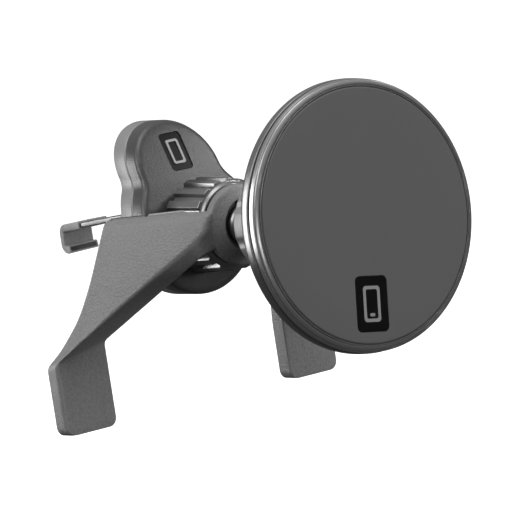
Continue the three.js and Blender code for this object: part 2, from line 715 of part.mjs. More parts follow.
// One L-shaped section: the outer web and, at its front, the flange that faces the driver.
function armSection({ front, rear, inner }, flange) {
  const across = inner[0] - front[0];
  const share = Math.min(0.9, WEB_WALL / across);
  const corner = front.map((value, i) => value + (inner[i] - value) * share);
  const rearInner = [rear[0] + WEB_WALL, rear[1], rear[2]];
  return [
    front,
    rear,
    rearInner,
    [corner[0], corner[1] + flange, corner[2]],
    [inner[0], inner[1] + flange, inner[2]],
    inner,
  ];
}

function foot() {
  const [left, right] = [-FOOT_OUTER_X, -FOOT_OUTER_X + FOOT_WIDTH];
  const r = FOOT_CORNER_R;
  const shape = new THREE.Shape();
  shape.moveTo(left, FOOT_TOP_Z);
  shape.lineTo(left, FOOT_BOTTOM_Z + r);
  shape.absarc(left + r, FOOT_BOTTOM_Z + r, r, Math.PI, 1.5 * Math.PI);
  shape.absarc(right - r, FOOT_BOTTOM_Z + r, r, 1.5 * Math.PI, 2 * Math.PI);
  shape.lineTo(right, FOOT_TOP_Z + FOOT_TOP_RISE);
  shape.closePath();
  return slab(shape, FOOT_FRONT_Y, FOOT_FRONT_Y + FOOT_THICKNESS, 6);
}

function leftArm() {
  const flanges = [1, 1, 1, 1.25, 1.4, 1.5, 1.6].map((share) => share * FLANGE_WALL);
  return lofted(armStations().map((station, i) => armSection(station, flanges[i]))).add(foot());
}

function legBracket() {
  const hubPlate = turned(
    [
      [HUB_NOSE_R + RUN, RING_BACK],
      [RING_R - 0.4, RING_BACK],
      [RING_R, RING_BACK - 0.4],
      [RING_R, RING_FRONT + 0.6],
      [RING_FACE_R + 0.4, RING_FRONT + 0.15],
      [RING_FACE_R, RING_FRONT],
      [RING_NOSE_R, RING_FRONT - RING_NOSE],
      [RING_COUNTERBORE_R, RING_FRONT - RING_NOSE],
      [RING_COUNTERBORE_R, RING_FRONT - RING_NOSE + RING_COUNTERBORE],
      [HUB_NOSE_R + RUN, RING_FRONT - RING_NOSE + RING_COUNTERBORE],
    ],
    32,
  );
  const arms = leftArm().add(mirrored(leftArm()));
  const knobSpace = turned([
    [0, KNOB_FRONT - GAP / 2],
    [RING_R + RUN, KNOB_FRONT - GAP / 2],
    [KNOB_FRONT_R + RUN, KNOB_FRONT + 0.9],
    [KNOB_R + RUN, KNOB_BACK],
    [KNOB_R + RUN, 20],
    [0, 20],
  ]);
  const plateSpace = rod(LOWER_LOBE_R + RUN, FRONT_SHELL_FRONT - 2 * RUN, 20, 0, 0, 40);
  const bore = rod(HUB_NOSE_R + RUN, -80, 20, 0, 0, 32);
  const mouth = rod(RING_COUNTERBORE_R, -80, RING_FRONT - RING_NOSE + RING_COUNTERBORE, 0, 0, 32);
  return arms.subtract(knobSpace).subtract(plateSpace).subtract(bore).subtract(mouth).add(hubPlate);
}

function footPad(side) {
  const front = FOOT_FRONT_Y + FOOT_THICKNESS + GAP / 3;
  const x = side * (FOOT_OUTER_X - FOOT_WIDTH / 2);
  const z = (FOOT_TOP_Z + FOOT_BOTTOM_Z) / 2 - 0.4;
  const width = FOOT_WIDTH - 2 * FOOT_PAD_INSET;
  const height = FOOT_TOP_Z - FOOT_BOTTOM_Z - 2 * FOOT_PAD_INSET;
  const shape = roundedRectangle(width, height, FOOT_CORNER_R - 0.4, x, z);
  return slab(shape, front, front + FOOT_PAD_THICKNESS, 5);
}

// ---- Ball joint, in the head's own frame: the ball's centre is 0 and the face is at -BALL_TO_FACE ----

const LINER_INNER_R = BALL_R + 0.2;
const LINER_OUTER_R = LINER_INNER_R + LINER_WALL;
const SEAT_INNER_R = LINER_OUTER_R + SEAT_FIT;
const SEAT_OUTER_R = SEAT_INNER_R + SEAT_WALL;
const NECK_BORE_R = SEAT_OUTER_R + GAP;
const NECK_R = NECK_BORE_R + NECK_WALL;
const NUT_BACK = 2.4;
const NUT_LIP = 0.6;
const NUT_BORE_R = NECK_R + RUN;
const NUT_R = NUT_BORE_R + NUT_WALL;
const NECK_BACK = 1;

// A band of a spherical shell between two angles from the axis that points at the face.
function sphericalShell(inner, outer, from, to, steps, segments) {
  const profile = [];
  for (let i = 0; i <= steps; i++) {
    const angle = from + ((to - from) * i) / steps;
    profile.push([outer * Math.sin(angle), -outer * Math.cos(angle)]);
  }
  for (let i = steps; i >= 0; i--) {
    const angle = from + ((to - from) * i) / steps;
    profile.push([inner * Math.sin(angle), -inner * Math.cos(angle)]);
  }
  return turned(profile, segments);
}

function frontSeat() {
  return sphericalShell(LINER_INNER_R, LINER_OUTER_R, 0.35, 1.9, 6, 24);
}

function rearSeat() {
  return sphericalShell(SEAT_INNER_R, SEAT_OUTER_R, 1.2, 1.77, 3, 24);
}

function lockNut() {
  const front = NUT_BACK - NUT_LENGTH;
  const lipAt = (y) => Math.sqrt(SEAT_INNER_R * SEAT_INNER_R - y * y);
  const bulk = turned(
    [
      [NUT_BORE_R, front],
      [NUT_R - 0.5, front],
      [NUT_R, front + 0.5],
      [NUT_R, NUT_BACK - 0.7],
      [NUT_R - 0.7, NUT_BACK],
      [lipAt(NUT_BACK), NUT_BACK],
      [lipAt(NUT_BACK - NUT_LIP), NUT_BACK - NUT_LIP],
      [NUT_BORE_R, NUT_BACK - NUT_LIP],
    ],
    32,
  );
  const flutes = [];
  for (let i = 0; i < NUT_FLUTES; i++) {
    const angle = ((i + 0.5) / NUT_FLUTES) * 2 * Math.PI;
    const reach = NUT_R + 1.6;
    flutes.push(rod(2.1, front - 1, NUT_BACK + 1, reach * Math.cos(angle), reach * Math.sin(angle), 12));
  }
  return flutes.reduce((whole, flute) => whole.subtract(flute), bulk);
}

// ---- Magnetic head ----

const FACE_Y = -BALL_TO_FACE;
const PLATE_FRONT = FACE_PAD_DEPTH + GAP;
const PLATE_BACK = PLATE_FRONT + 1;
const CUP_FRONT = BEZEL_DEPTH + GAP + 0.05;
const CUP_SIDE_END = CUP_FRONT + CUP_SIDE_DEPTH;
const CUP_INNER_R = HEAD_R - 1.5;
const CARRIER_FRONT = PLATE_BACK + GAP;
const CARRIER_DEPTH = 2.3;
const CARRIER_FLOOR = 0.4;
const MAGNET_FRONT = CARRIER_FRONT + 0.15;
const SHUNT_FRONT = CARRIER_FRONT + CARRIER_DEPTH + GAP;
const SHUNT_BACK = SHUNT_FRONT + SHUNT_DEPTH;

function atDepth(profile) {
  return profile.map(([r, depth]) => [r, FACE_Y + depth]);
}

const headScrewPlaces = Array.from({ length: HEAD_SCREWS }, (_, i) => {
  const angle = (i / HEAD_SCREWS) * 2 * Math.PI + Math.PI / 2;
  return [HEAD_SCREW_CIRCLE_R * Math.cos(angle), HEAD_SCREW_CIRCLE_R * Math.sin(angle)];
});

function faceBadgeShape(grow) {
  const [width, height] = [BADGE_WIDTH + 2 * grow, BADGE_HEIGHT + 2 * grow];
  return roundedRectangle(width, height, BADGE_CORNER_R + grow, 0, -BADGE_BELOW_CENTRE);
}

function facePad() {
  const pad = turned(
    atDepth([
      [0, 0],
      [FACE_R - 0.35, 0],
      [FACE_R, 0.3],
      [FACE_R, FACE_PAD_DEPTH],
      [0, FACE_PAD_DEPTH],
    ]),
    40,
  );
  return pad.subtract(slab(faceBadgeShape(0.12), FACE_Y - 1, FACE_Y + BADGE_DEPTH + 0.2, 4));
}

function faceBadge() {
  return slab(faceBadgeShape(0), FACE_Y + 0.04, FACE_Y + 0.04 + BADGE_DEPTH, 4);
}

function frontBezel() {
  let bezel = turned(
    atDepth([
      [0, PLATE_FRONT],
      [FACE_R + 0.3, PLATE_FRONT],
      [FACE_R + 0.3, 0.5],
      [FACE_R + 0.5, 0.25],
      [BEZEL_R - 0.2, 0.7],
      [BEZEL_R, 0.95],
      [BEZEL_R, BEZEL_DEPTH],
      [CUP_INNER_R - GAP, BEZEL_DEPTH],
      [CUP_INNER_R - GAP, PLATE_BACK + 0.9],
      [CUP_INNER_R - GAP - 0.7, PLATE_BACK + 0.9],
      [CUP_INNER_R - GAP - 0.7, PLATE_BACK],
      [0, PLATE_BACK],
    ]),
    40,
  );
  for (const [x, z] of headScrewPlaces) {
    bezel = bezel.subtract(rod(SCREW_HEAD_R + GAP, FACE_Y, FACE_Y + PLATE_BACK - 0.4, x, z));
    bezel = bezel.subtract(rod(SCREW_R + GAP, FACE_Y, FACE_Y + PLATE_BACK + 1, x, z));
  }
  return bezel;
}

function headCover() {
  let cover = turned(
    [
      [0, -SEAT_OUTER_R - 1.2],
      [4, -SEAT_OUTER_R - 1.2],
      [NECK_BORE_R, -6],
      [NECK_BORE_R, NECK_BACK],
      [NECK_R, NECK_BACK],
      [NECK_R, -14.5],
      ...atDepth([
        [11, BALL_TO_FACE - 17.5],
        [HEAD_R - 10, 9.6],
        [HEAD_R - 3.4, 7.2],
        [HEAD_R - 0.8, CUP_SIDE_END + 0.9],
        [HEAD_R, CUP_SIDE_END],
        [HEAD_R, CUP_FRONT + 0.25],
        [HEAD_R - 0.25, CUP_FRONT],
        [CUP_INNER_R, CUP_FRONT],
        [CUP_INNER_R, SHUNT_FRONT - GAP],
        [MAGNET_OUTER_R + 0.6, SHUNT_BACK + GAP],
        [15, SHUNT_BACK + 1.7],
        [0, SHUNT_BACK + 1.7],
      ]),
    ],
    40,
  );
  for (const [x, z] of headScrewPlaces) {
    const boss = rod(2.2, FACE_Y + CARRIER_FRONT + CARRIER_DEPTH + GAP, FACE_Y + SHUNT_BACK + 2.4, x, z);
    const pilot = rod(SCREW_R + GAP, FACE_Y, FACE_Y + SHUNT_BACK + 2.6, x, z);
    cover = cover.add(boss).subtract(pilot);
  }
  return cover;
}

function magnetCarrier() {
  let carrier = turned(
    atDepth([
      [7, CARRIER_FRONT],
      [MAGNET_INNER_R - 0.4, CARRIER_FRONT],
      [MAGNET_INNER_R - 0.4, CARRIER_FRONT + CARRIER_DEPTH - CARRIER_FLOOR],
      [MAGNET_OUTER_R + 0.4, CARRIER_FRONT + CARRIER_DEPTH - CARRIER_FLOOR],
      [MAGNET_OUTER_R + 0.4, CARRIER_FRONT],
      [CUP_INNER_R - GAP - 1.1, CARRIER_FRONT],
      [CUP_INNER_R - GAP - 1.1, CARRIER_FRONT + CARRIER_DEPTH],
      [7, CARRIER_FRONT + CARRIER_DEPTH],
    ]),
    32,
  );
  for (const [x, z] of headScrewPlaces) {
    carrier = carrier.subtract(rod(SCREW_R + GAP, FACE_Y, 0, x, z));
  }
  return carrier;
}

function steelShunt() {
  return turned(
    atDepth([
      [MAGNET_INNER_R, SHUNT_FRONT],
      [MAGNET_OUTER_R, SHUNT_FRONT],
      [MAGNET_OUTER_R, SHUNT_BACK],
      [MAGNET_INNER_R, SHUNT_BACK],
    ]),
    32,
  );
}

function magnet(i) {
  const middle = (i / MAGNETS) * 2 * Math.PI;
  const half = THREE.MathUtils.degToRad(MAGNET_SPAN_DEG) / 2;
  const shape = new THREE.Shape();
  shape.absarc(0, 0, MAGNET_OUTER_R, middle - half, middle + half);
  shape.absarc(0, 0, MAGNET_INNER_R, middle + half, middle - half, true);
  return slab(shape, FACE_Y + MAGNET_FRONT, FACE_Y + MAGNET_FRONT + MAGNET_DEPTH, 3);
}

function headScrew([x, z]) {
  const headFront = FACE_Y + PLATE_FRONT + 0.1;
  const length = SHUNT_BACK + 2 - PLATE_FRONT;
  const shank = rod(SCREW_R, headFront + 0.2, headFront + length, x, z, 12);
  const cap = rod(SCREW_HEAD_R, headFront, headFront + 0.45, x, z, 16);
  return cap.add(shank);
}

// ---- Assembly ----

place(mount, "clamp_front_shell", clampFrontShell(), PLASTIC_DARK);
place(mount, "clamp_rear_shell", clampRearShell(), PLASTIC_GREY);
place(mount, "rear_pad_lower", lowerPad(), RUBBER);
place(mount, "rear_pad_upper", upperPad(), RUBBER);
place(mount, "hub_core", hubCore(), PLASTIC_DARK);
place(mount, "retaining_clip", retainingClip(), STEEL);
place(mount, "ball_stud", ballStud(), SATIN_METAL);
shellScrews.forEach((x, i) => {
  const back = SHELL_SCREW_BACK + SHELL_SCREW_LEAN;
  const made = screw(x, SHELL_SCREW_Z, back, SHELL_SCREW_LENGTH, SCREW_HEAD);
  place(mount, "shell_screw_" + (i + 1), made, STEEL);
});
hubScrewPlaces.forEach(([x, z], i) => {
  const made = screw(x, z, HUB_SCREW_BACK, HUB_SCREW_LENGTH, HUB_SCREW_HEAD);
  place(mount, "hub_screw_" + (i + 1), made, STEEL);
});
place(mount, "knob", knob(), SATIN_METAL);
place(mount, "hook_slider", slider(), SATIN_METAL);
place(mount, "hook_strip", hookStrip(), STEEL);
place(mount, "hook_rivet", rivet(), STEEL);
place(mount, "hook_sleeve", hookSleeve(), RUBBER);
place(mount, "leg_bracket", legBracket(), PLASTIC_GREY);
place(mount, "foot_pad_left", footPad(-1), RUBBER);
place(mount, "foot_pad_right", footPad(1), RUBBER);
place(head, "ball_seat_front", frontSeat(), PLASTIC_GREY);
place(head, "ball_seat_rear", rearSeat(), PLASTIC_GREY);
place(head, "lock_nut", lockNut(), PLASTIC_GREY);
place(head, "head_cover", headCover(), SATIN_METAL);
place(head, "magnet_carrier", magnetCarrier(), PLASTIC_DARK);
place(head, "steel_shunt", steelShunt(), STEEL);
for (let i = 0; i < MAGNETS; i++) place(head, "magnet_" + (i + 1), magnet(i), STEEL);
place(head, "front_bezel", frontBezel(), SATIN_METAL);
headScrewPlaces.forEach((spot, i) => place(head, "head_screw_" + (i + 1), headScrew(spot), STEEL));
place(head, "face_pad", facePad(), FACE_GREY);
place(head, "face_badge", faceBadge(), GLOSS_BLACK);

export default mount;
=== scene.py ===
"""Magnetic phone holder for a car's air vent: ball stud, ribbed knob, clamp plate with a steel hook,
two-legged support bracket, and a round magnetic head on a ball joint. Built in millimetres, +Z up,
+Y towards the vent, and scaled to metres as each mesh is made."""
import math

import bmesh
import bpy
from mathutils import Matrix, Vector


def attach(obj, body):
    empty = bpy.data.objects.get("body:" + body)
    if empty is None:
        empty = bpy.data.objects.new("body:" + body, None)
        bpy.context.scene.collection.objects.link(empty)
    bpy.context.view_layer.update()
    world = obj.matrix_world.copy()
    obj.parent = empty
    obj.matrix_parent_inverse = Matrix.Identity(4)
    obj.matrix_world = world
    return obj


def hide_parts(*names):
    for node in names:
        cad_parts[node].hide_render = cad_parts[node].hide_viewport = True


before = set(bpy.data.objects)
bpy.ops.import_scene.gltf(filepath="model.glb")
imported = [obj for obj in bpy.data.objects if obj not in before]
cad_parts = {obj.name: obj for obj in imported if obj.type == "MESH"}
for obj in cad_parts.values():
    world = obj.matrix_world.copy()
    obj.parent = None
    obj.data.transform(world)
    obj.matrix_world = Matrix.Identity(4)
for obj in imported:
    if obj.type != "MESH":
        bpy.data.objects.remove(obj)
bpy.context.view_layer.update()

# ---- Ball stud ----
# A turned steel ball on a waisted stem, coated satin grey and pressed into the nose of the hub tube.
# The ball is 13 mm across and its stem 5.8 mm, and it stands 12 mm ahead of the bracket's ring.
MM = 0.001
RING_FRONT = -24.9
BALL_Y = RING_FRONT - 12
BALL_R = 6.5
STEM_R = 2.9
STUD_BASE = -25.75
FLARE_R = 4.6
PIN_R, PIN_END = 2.3, -21.9
UPRIGHT = Matrix.Identity(4)


def eased(corners, steps=4):
    """Points of an outline whose corners (x, y, rounding) are each replaced by a small curve."""
    points = []
    last = len(corners) - 1
    for i, corner in enumerate(corners):
        here = Vector(corner[:-1])
        if corner[-1] <= 0 or i in (0, last):
            points.append(here)
            continue
        to_before = Vector(corners[i - 1][:-1]) - here
        to_after = Vector(corners[i + 1][:-1]) - here
        start = here + to_before.normalized() * min(corner[-1], 0.48 * to_before.length)
        end = here + to_after.normalized() * min(corner[-1], 0.48 * to_after.length)
        for k in range(steps + 1):
            t = k / steps
            points.append(start * (1 - t) ** 2 + here * (2 * t * (1 - t)) + end * t**2)
    return points


def mesh_piece(name, vertices, faces, place=UPRIGHT, crease=32):
    """One closed mesh from millimetre vertices, smooth except across sharp edges."""
    mesh = bpy.data.meshes.new(name)
    mesh.from_pydata([place @ Vector(v) * MM for v in vertices], [], faces)
    work = bmesh.new()
    work.from_mesh(mesh)
    bmesh.ops.remove_doubles(work, verts=work.verts, dist=0.002 * MM)
    bmesh.ops.recalc_face_normals(work, faces=work.faces)
    work.to_mesh(mesh)
    work.free()
    mesh.shade_smooth()
    mesh.set_sharp_from_angle(angle=math.radians(crease))
    piece = bpy.data.objects.new(name, mesh)
    bpy.context.scene.collection.objects.link(piece)
    return piece


def skinned(name, rings, place=UPRIGHT, loop=False, crease=32):
    """Rings of equal length joined in order. A ring of one repeated point closes an end."""
    count = len(rings[0])
    faces = []
    pairs = len(rings) if loop else len(rings) - 1
    for s in range(pairs):
        a, b = s * count, ((s + 1) % len(rings)) * count
        for i in range(count):
            j = (i + 1) % count
            faces.append((a + i, a + j, b + j, b + i))
    return mesh_piece(name, [v for ring in rings for v in ring], faces, place, crease)


def turned(name, corners, place=UPRIGHT, segments=128, loop=False, outline=None, crease=32):
    """A turned piece about the Y axis from (radius, y, rounding); outline varies the radius by angle."""
    rings = []
    for r, y in eased(corners):
        ring = []
        for i in range(segments):
            angle = 2 * math.pi * i / segments
            reach = outline(r, y, angle) if outline else r
            ring.append((reach * math.cos(angle), y, reach * math.sin(angle)))
        rings.append(ring)
    return skinned(name, rings, place, loop, crease)


def group_of(name, inputs, outputs):
    """An empty shader group with named sockets: (name, kind, default) in, (name, kind) out."""
    group = bpy.data.node_groups.new(name, "ShaderNodeTree")
    for label, kind, value in inputs:
        socket = group.interface.new_socket(label, in_out="INPUT", socket_type=kind)
        socket.default_value = value
    for label, kind in outputs:
        group.interface.new_socket(label, in_out="OUTPUT", socket_type=kind)
    return group, group.nodes.new("NodeGroupInput"), group.nodes.new("NodeGroupOutput")


def moved(piece, place):
    """Moves a finished mesh by a placement given in millimetres."""
    piece.data.transform(Matrix.Scale(1 / MM, 4))
    piece.data.transform(place)
    piece.data.transform(Matrix.Scale(MM, 4))
    return piece


COLOUR, NUMBER = "NodeSocketColor", "NodeSocketFloat"


def math_node(tree, operation, a, b=None, clamp=False):
    """One sum on numbers or sockets, as its output socket."""
    node = tree.nodes.new("ShaderNodeMath")
    node.operation = operation
    node.use_clamp = clamp
    for socket, value in zip(node.inputs, (a, b)):
        if isinstance(value, (int, float)):
            socket.default_value = value
        elif value is not None:
            tree.links.new(value, socket)
    return node.outputs[0]


# Grain: the fine spark-eroded texture of the mould or the blast under a coating, with slow colour drift.
grain, grain_in, grain_out = group_of(
    "surface grain",
    [("Colour", COLOUR, (0.2, 0.2, 0.2, 1)), ("Drift", NUMBER, 0.1), ("Speckle", NUMBER, 0.1),
     ("Cells", NUMBER, 2500), ("Along", NUMBER, 1), ("Roughness", NUMBER, 0.4), ("Spread", NUMBER, 0.1)],
    [("Colour", COLOUR), ("Roughness", NUMBER), ("Height", NUMBER)],
)
grain_place = grain.nodes.new("ShaderNodeTexCoord")
stretch = grain.nodes.new("ShaderNodeCombineXYZ")
stretch.inputs[0].default_value = 1
stretch.inputs[2].default_value = 1
grain.links.new(grain_in.outputs["Along"], stretch.inputs[1])
stretched = grain.nodes.new("ShaderNodeVectorMath")
stretched.operation = "MULTIPLY"
grain.links.new(grain_place.outputs["Object"], stretched.inputs[0])
grain.links.new(stretch.outputs[0], stretched.inputs[1])


def noise_in(tree, vector, scale, detail):
    """A noise pattern's value at a point, its scale a number or a socket."""
    node = tree.nodes.new("ShaderNodeTexNoise")
    node.inputs["Detail"].default_value = detail
    tree.links.new(vector, node.inputs["Vector"])
    if isinstance(scale, (int, float)):
        node.inputs["Scale"].default_value = scale
    else:
        tree.links.new(scale, node.inputs["Scale"])
    return node.outputs["Fac"]


fine = noise_in(grain, stretched.outputs[0], grain_in.outputs["Cells"], 3)
slow = noise_in(grain, grain_place.outputs["Object"], 90, 2)
speck = math_node(grain, "MULTIPLY", math_node(grain, "SUBTRACT", fine, 0.5), grain_in.outputs["Speckle"])
drift = math_node(grain, "MULTIPLY", math_node(grain, "SUBTRACT", slow, 0.5), grain_in.outputs["Drift"])
shade = math_node(grain, "ADD", 1, math_node(grain, "ADD", speck, drift))
tint = grain.nodes.new("ShaderNodeVectorMath")
tint.operation = "SCALE"
grain.links.new(grain_in.outputs["Colour"], tint.inputs[0])
grain.links.new(shade, tint.inputs["Scale"])
grain.links.new(tint.outputs[0], grain_out.inputs["Colour"])
uneven = math_node(grain, "MULTIPLY", math_node(grain, "SUBTRACT", fine, 0.5), grain_in.outputs["Spread"])
gloss = math_node(grain, "ADD", grain_in.outputs["Roughness"], uneven, clamp=True)
grain.links.new(gloss, grain_out.inputs["Roughness"])
grain.links.new(fine, grain_out.inputs["Height"])

# Worn and highlit edges: pointy corners are painted lighter, partly as wear where hands and the phone rub,
# partly as a painted highlight along the bevels.
edge_wear_sheen, edge_wear_sheen_in, edge_wear_sheen_out = group_of(
    "worn and highlit edges",
    [("Colour", COLOUR, (0.2, 0.2, 0.2, 1)), ("Worn and lit", COLOUR, (0.5, 0.5, 0.5, 1)),
     ("Amount", NUMBER, 0.5)],
    [("Colour", COLOUR)],
)
EDGE_FROM, EDGE_GAIN = 0.52, 12
shape = edge_wear_sheen.nodes.new("ShaderNodeNewGeometry")
beyond = math_node(edge_wear_sheen, "SUBTRACT", shape.outputs["Pointiness"], EDGE_FROM)
ridge = math_node(edge_wear_sheen, "MULTIPLY", beyond, EDGE_GAIN, True)
worn_and_lit = math_node(edge_wear_sheen, "MULTIPLY", ridge, edge_wear_sheen_in.outputs["Amount"], True)
wear_and_light_mix = edge_wear_sheen.nodes.new("ShaderNodeMix")
wear_and_light_mix.data_type = "RGBA"
edge_wear_sheen.links.new(worn_and_lit, wear_and_light_mix.inputs["Factor"])
edge_wear_sheen.links.new(edge_wear_sheen_in.outputs["Colour"], wear_and_light_mix.inputs["A"])
edge_wear_sheen.links.new(edge_wear_sheen_in.outputs["Worn and lit"], wear_and_light_mix.inputs["B"])
edge_wear_sheen.links.new(wear_and_light_mix.outputs["Result"], edge_wear_sheen_out.inputs["Colour"])


def finish(name, grey, roughness, cells, depth, drift=0.12, speckle=0.25, spread=0.12, along=1,
           metallic=0.0, wear_and_sheen=0.3, specular=0.5, anisotropic=0.0):
    """A finish of one grey: grain and lighter edges, which are wear and painted highlight, into a Principled
    shader, grain height into its bump.
    """
    material = bpy.data.materials.new(name)
    material.use_nodes = True
    tree = material.node_tree
    tree.nodes.clear()
    output = tree.nodes.new("ShaderNodeOutputMaterial")
    shader = tree.nodes.new("ShaderNodeBsdfPrincipled")
    tree.links.new(shader.outputs[0], output.inputs["Surface"])
    shader.inputs["Metallic"].default_value = metallic
    shader.inputs["Specular IOR Level"].default_value = specular
    shader.inputs["Anisotropic"].default_value = anisotropic
    skin = tree.nodes.new("ShaderNodeGroup")
    skin.node_tree = grain
    values = {"Colour": (grey, grey, grey, 1), "Drift": drift, "Speckle": speckle, "Cells": cells,
              "Along": along, "Roughness": roughness, "Spread": spread}
    for label, value in values.items():
        skin.inputs[label].default_value = value
    edges = tree.nodes.new("ShaderNodeGroup")
    edges.node_tree = edge_wear_sheen
    # The lighter edge colour paints wear and a highlight onto pointy corners.
    edges.inputs["Worn and lit"].default_value = (min(1, grey * 2.2),) * 3 + (1,)
    edges.inputs["Amount"].default_value = wear_and_sheen
    tree.links.new(skin.outputs["Colour"], edges.inputs["Colour"])
    tree.links.new(edges.outputs["Colour"], shader.inputs["Base Color"])
    tree.links.new(skin.outputs["Roughness"], shader.inputs["Roughness"])
    bump = tree.nodes.new("ShaderNodeBump")
    bump.inputs["Distance"].default_value = depth * MM
    bump.inputs["Strength"].default_value = 1
    tree.links.new(skin.outputs["Height"], bump.inputs["Height"])
    tree.links.new(bump.outputs[0], shader.inputs["Normal"])
    return material


def fitted(piece, material, body, slot, *nodes):
    """Gives a finished piece its material and body and hides the CAD nodes it stands for. The slot is not
    used.
    """
    piece.data.materials.clear()
    piece.data.materials.append(material)
    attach(piece, body)
    if nodes:
        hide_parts(*nodes)
    return piece


satin = finish("satin gunmetal", 0.2, 0.3, 2600, 0.004, metallic=0.9, wear_and_sheen=0.35)

BALL_STEPS, STEM_SHARE = 40, 0.148
ball_turns = [math.pi * (1 - STEM_SHARE) * i / BALL_STEPS for i in range(BALL_STEPS + 1)]
ball_outline = [(BALL_R * math.sin(a), BALL_Y - BALL_R * math.cos(a), 0) for a in ball_turns]
stud = turned("ball_stud_turned", [
    *ball_outline,
    (STEM_R, STUD_BASE - 5.6, 0), (STEM_R, STUD_BASE - 4.0, 1), (STEM_R + 0.5, STUD_BASE - 2.2, 1),
    (FLARE_R, STUD_BASE - 0.8, 0.5), (FLARE_R, STUD_BASE, 0.2), (PIN_R, STUD_BASE, 0), (PIN_R, PIN_END, 0),
    (0, PIN_END, 0),
])
fitted(stud, satin, "clamp", "satin_metal", "ball_stud")

# ---- Hub tube and retaining clip ----
# The moulded tube that everything turns on, screwed to the rear shell, and the spring-steel clip that
# keeps the bracket's ring on its nose. Only their front ends show, inside the ring.
dark_plastic = finish("dark moulded plastic", 0.03, 0.33, 2600, 0.05, speckle=0.5, wear_and_sheen=0.3)
steel = finish("brushed steel", 0.2, 0.42, 5200, 0.010, along=0.035, metallic=1, speckle=0.22,
               spread=0.22, wear_and_sheen=0.2, anisotropic=0.4)


def kept(node, material, bevel=0.12):
    """A CAD node that keeps its shape: softened edges and its finish."""
    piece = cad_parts[node]
    piece.data.materials.clear()
    piece.data.materials.append(material)
    if bevel:
        soft = piece.modifiers.new("soft edges", "BEVEL")
        soft.width = bevel * MM
        soft.segments = 2
        soft.limit_method = "ANGLE"
        soft.angle_limit = math.radians(40)
        soft.harden_normals = False
    return piece


kept("hub_core", dark_plastic, 0.1)
kept("retaining_clip", steel, 0.05)
for number in (1, 2, 3):
    kept(f"hub_screw_{number}", steel, 0.06)
    kept(f"head_screw_{number}", steel, 0.04)
for number in (1, 2):
    kept(f"shell_screw_{number}", steel, 0.06)

# ---- Knob ----
# A die-cast collar with 18 broad ribs and narrow flutes, 21 mm across and 12 mm long, slightly tapered.
# Its skirt runs in the clamp plate and its thread pulls the hook's slider.
KNOB_BACK, KNOB_FRONT = -10.1, -22.3
KNOB_R, KNOB_TAPER = 10.45, 0.35
RIBS, RIB_DEPTH = 18, 0.95
FLUTE_AT, FLUTE_HALF, RIBBED_FROM = 0.71, 0.27, 9.4
GRIP_FRONT = KNOB_FRONT + 0.9


def ribbed(r, y, angle):
    """The knob's radius by angle: a flute cut into the grip beside each rib."""
    if r < RIBBED_FROM or not KNOB_BACK + 0.01 >= y >= GRIP_FRONT - 0.01:
        return r
    share = (angle * RIBS / (2 * math.pi)) % 1
    flute = max(0.0, 1 - abs(share - FLUTE_AT) / FLUTE_HALF)
    wall = min(1.0, flute * 2.1)
    return r - RIB_DEPTH * wall * wall * (3 - 2 * wall)


knob = turned("knob_ribbed", [
    (7.1, -5.2, 0), (8.6, -5.2, 0.15), (8.6, -5.8, 0.15), (7.9, -5.8, 0), (7.9, -10.0, 0),
    (9.6, KNOB_BACK, 0.2), (KNOB_R, KNOB_BACK - 0.25, 0.3), (KNOB_R - 0.1, KNOB_BACK - 3, 0),
    (KNOB_R - KNOB_TAPER, GRIP_FRONT + 0.1, 0.2), (9.3, GRIP_FRONT - 0.15, 0.3), (8.8, KNOB_FRONT, 0.2),
    (6.7, KNOB_FRONT, 0), (6.7, KNOB_FRONT + 1.6, 0), (7.1, KNOB_FRONT + 1.6, 0),
], segments=RIBS * 20, loop=True, outline=ribbed, crease=50)
fitted(knob, satin, "knob", "satin_metal", "knob")

# ---- Clamp plate ----
# Two screwed shells of glass-filled nylon in a two-lobed outline, 30 mm wide and 38 mm high. The upper
# lobe leans back. The front shell has a grained face with a sunk emblem, the rear one two rubber pads.
LOWER_R, UPPER_R, LOBE_SPACING, WAIST_R = 15.1, 10.8, 12.5, 5.0
FRONT_FACE, FRONT_BACK, REAR_FACE, REAR_BACK = -9.8, -5.5, -5.4, -1.0
LEAN, LEAN_FROM, LEAN_TO = 0.47, 3.0, 5.0


def lean(z):
    """How far back the plate stands at a height, in one curve from upright to leaning."""
    part = min(1, max(0, (z - LEAN_FROM) / (LEAN_TO - LEAN_FROM)))
    return LEAN * (part * (LEAN_TO - LEAN_FROM) * 0.5 + max(0, z - LEAN_TO))


def arc(x, z, radius, start, end, steps):
    """Points on an arc about a centre, without its last point."""
    return [(x + radius * math.cos(start + (end - start) * i / steps),
             z + radius * math.sin(start + (end - start) * i / steps)) for i in range(steps)]


def plate_outline(grow):
    """Two lobes joined by a waist of a small radius on each side, grown or shrunk by an offset."""
    lower, upper, waist = LOWER_R + grow, UPPER_R + grow, WAIST_R - grow
    d1, d2 = lower + waist, upper + waist
    z = (d1 * d1 - d2 * d2 + LOBE_SPACING**2) / (2 * LOBE_SPACING)
    x = math.sqrt(d1 * d1 - z * z)
    low, high = math.atan2(z, x), math.atan2(z - LOBE_SPACING, x)
    return (arc(0, 0, lower, math.pi - low, 2 * math.pi + low, 72)
            + arc(x, z, waist, math.pi + low, math.pi + high, 12)
            + arc(0, LOBE_SPACING, upper, high, math.pi - high, 60)
            + arc(-x, z, waist, -high, -low, 12))


def leant(points, y):
    """An outline stood up at a depth that follows the plate's lean."""
    return [(x, y + lean(z), z) for x, z in points]


def towards(points, hole, share):
    """Points part of the way from an outline to a round hole at the same bearing."""
    moved = []
    for x, z in points:
        bearing = math.atan2(z, x)
        hx, hz = hole * math.cos(bearing), hole * math.sin(bearing)
        moved.append((x + (hx - x) * share, z + (hz - z) * share))
    return moved


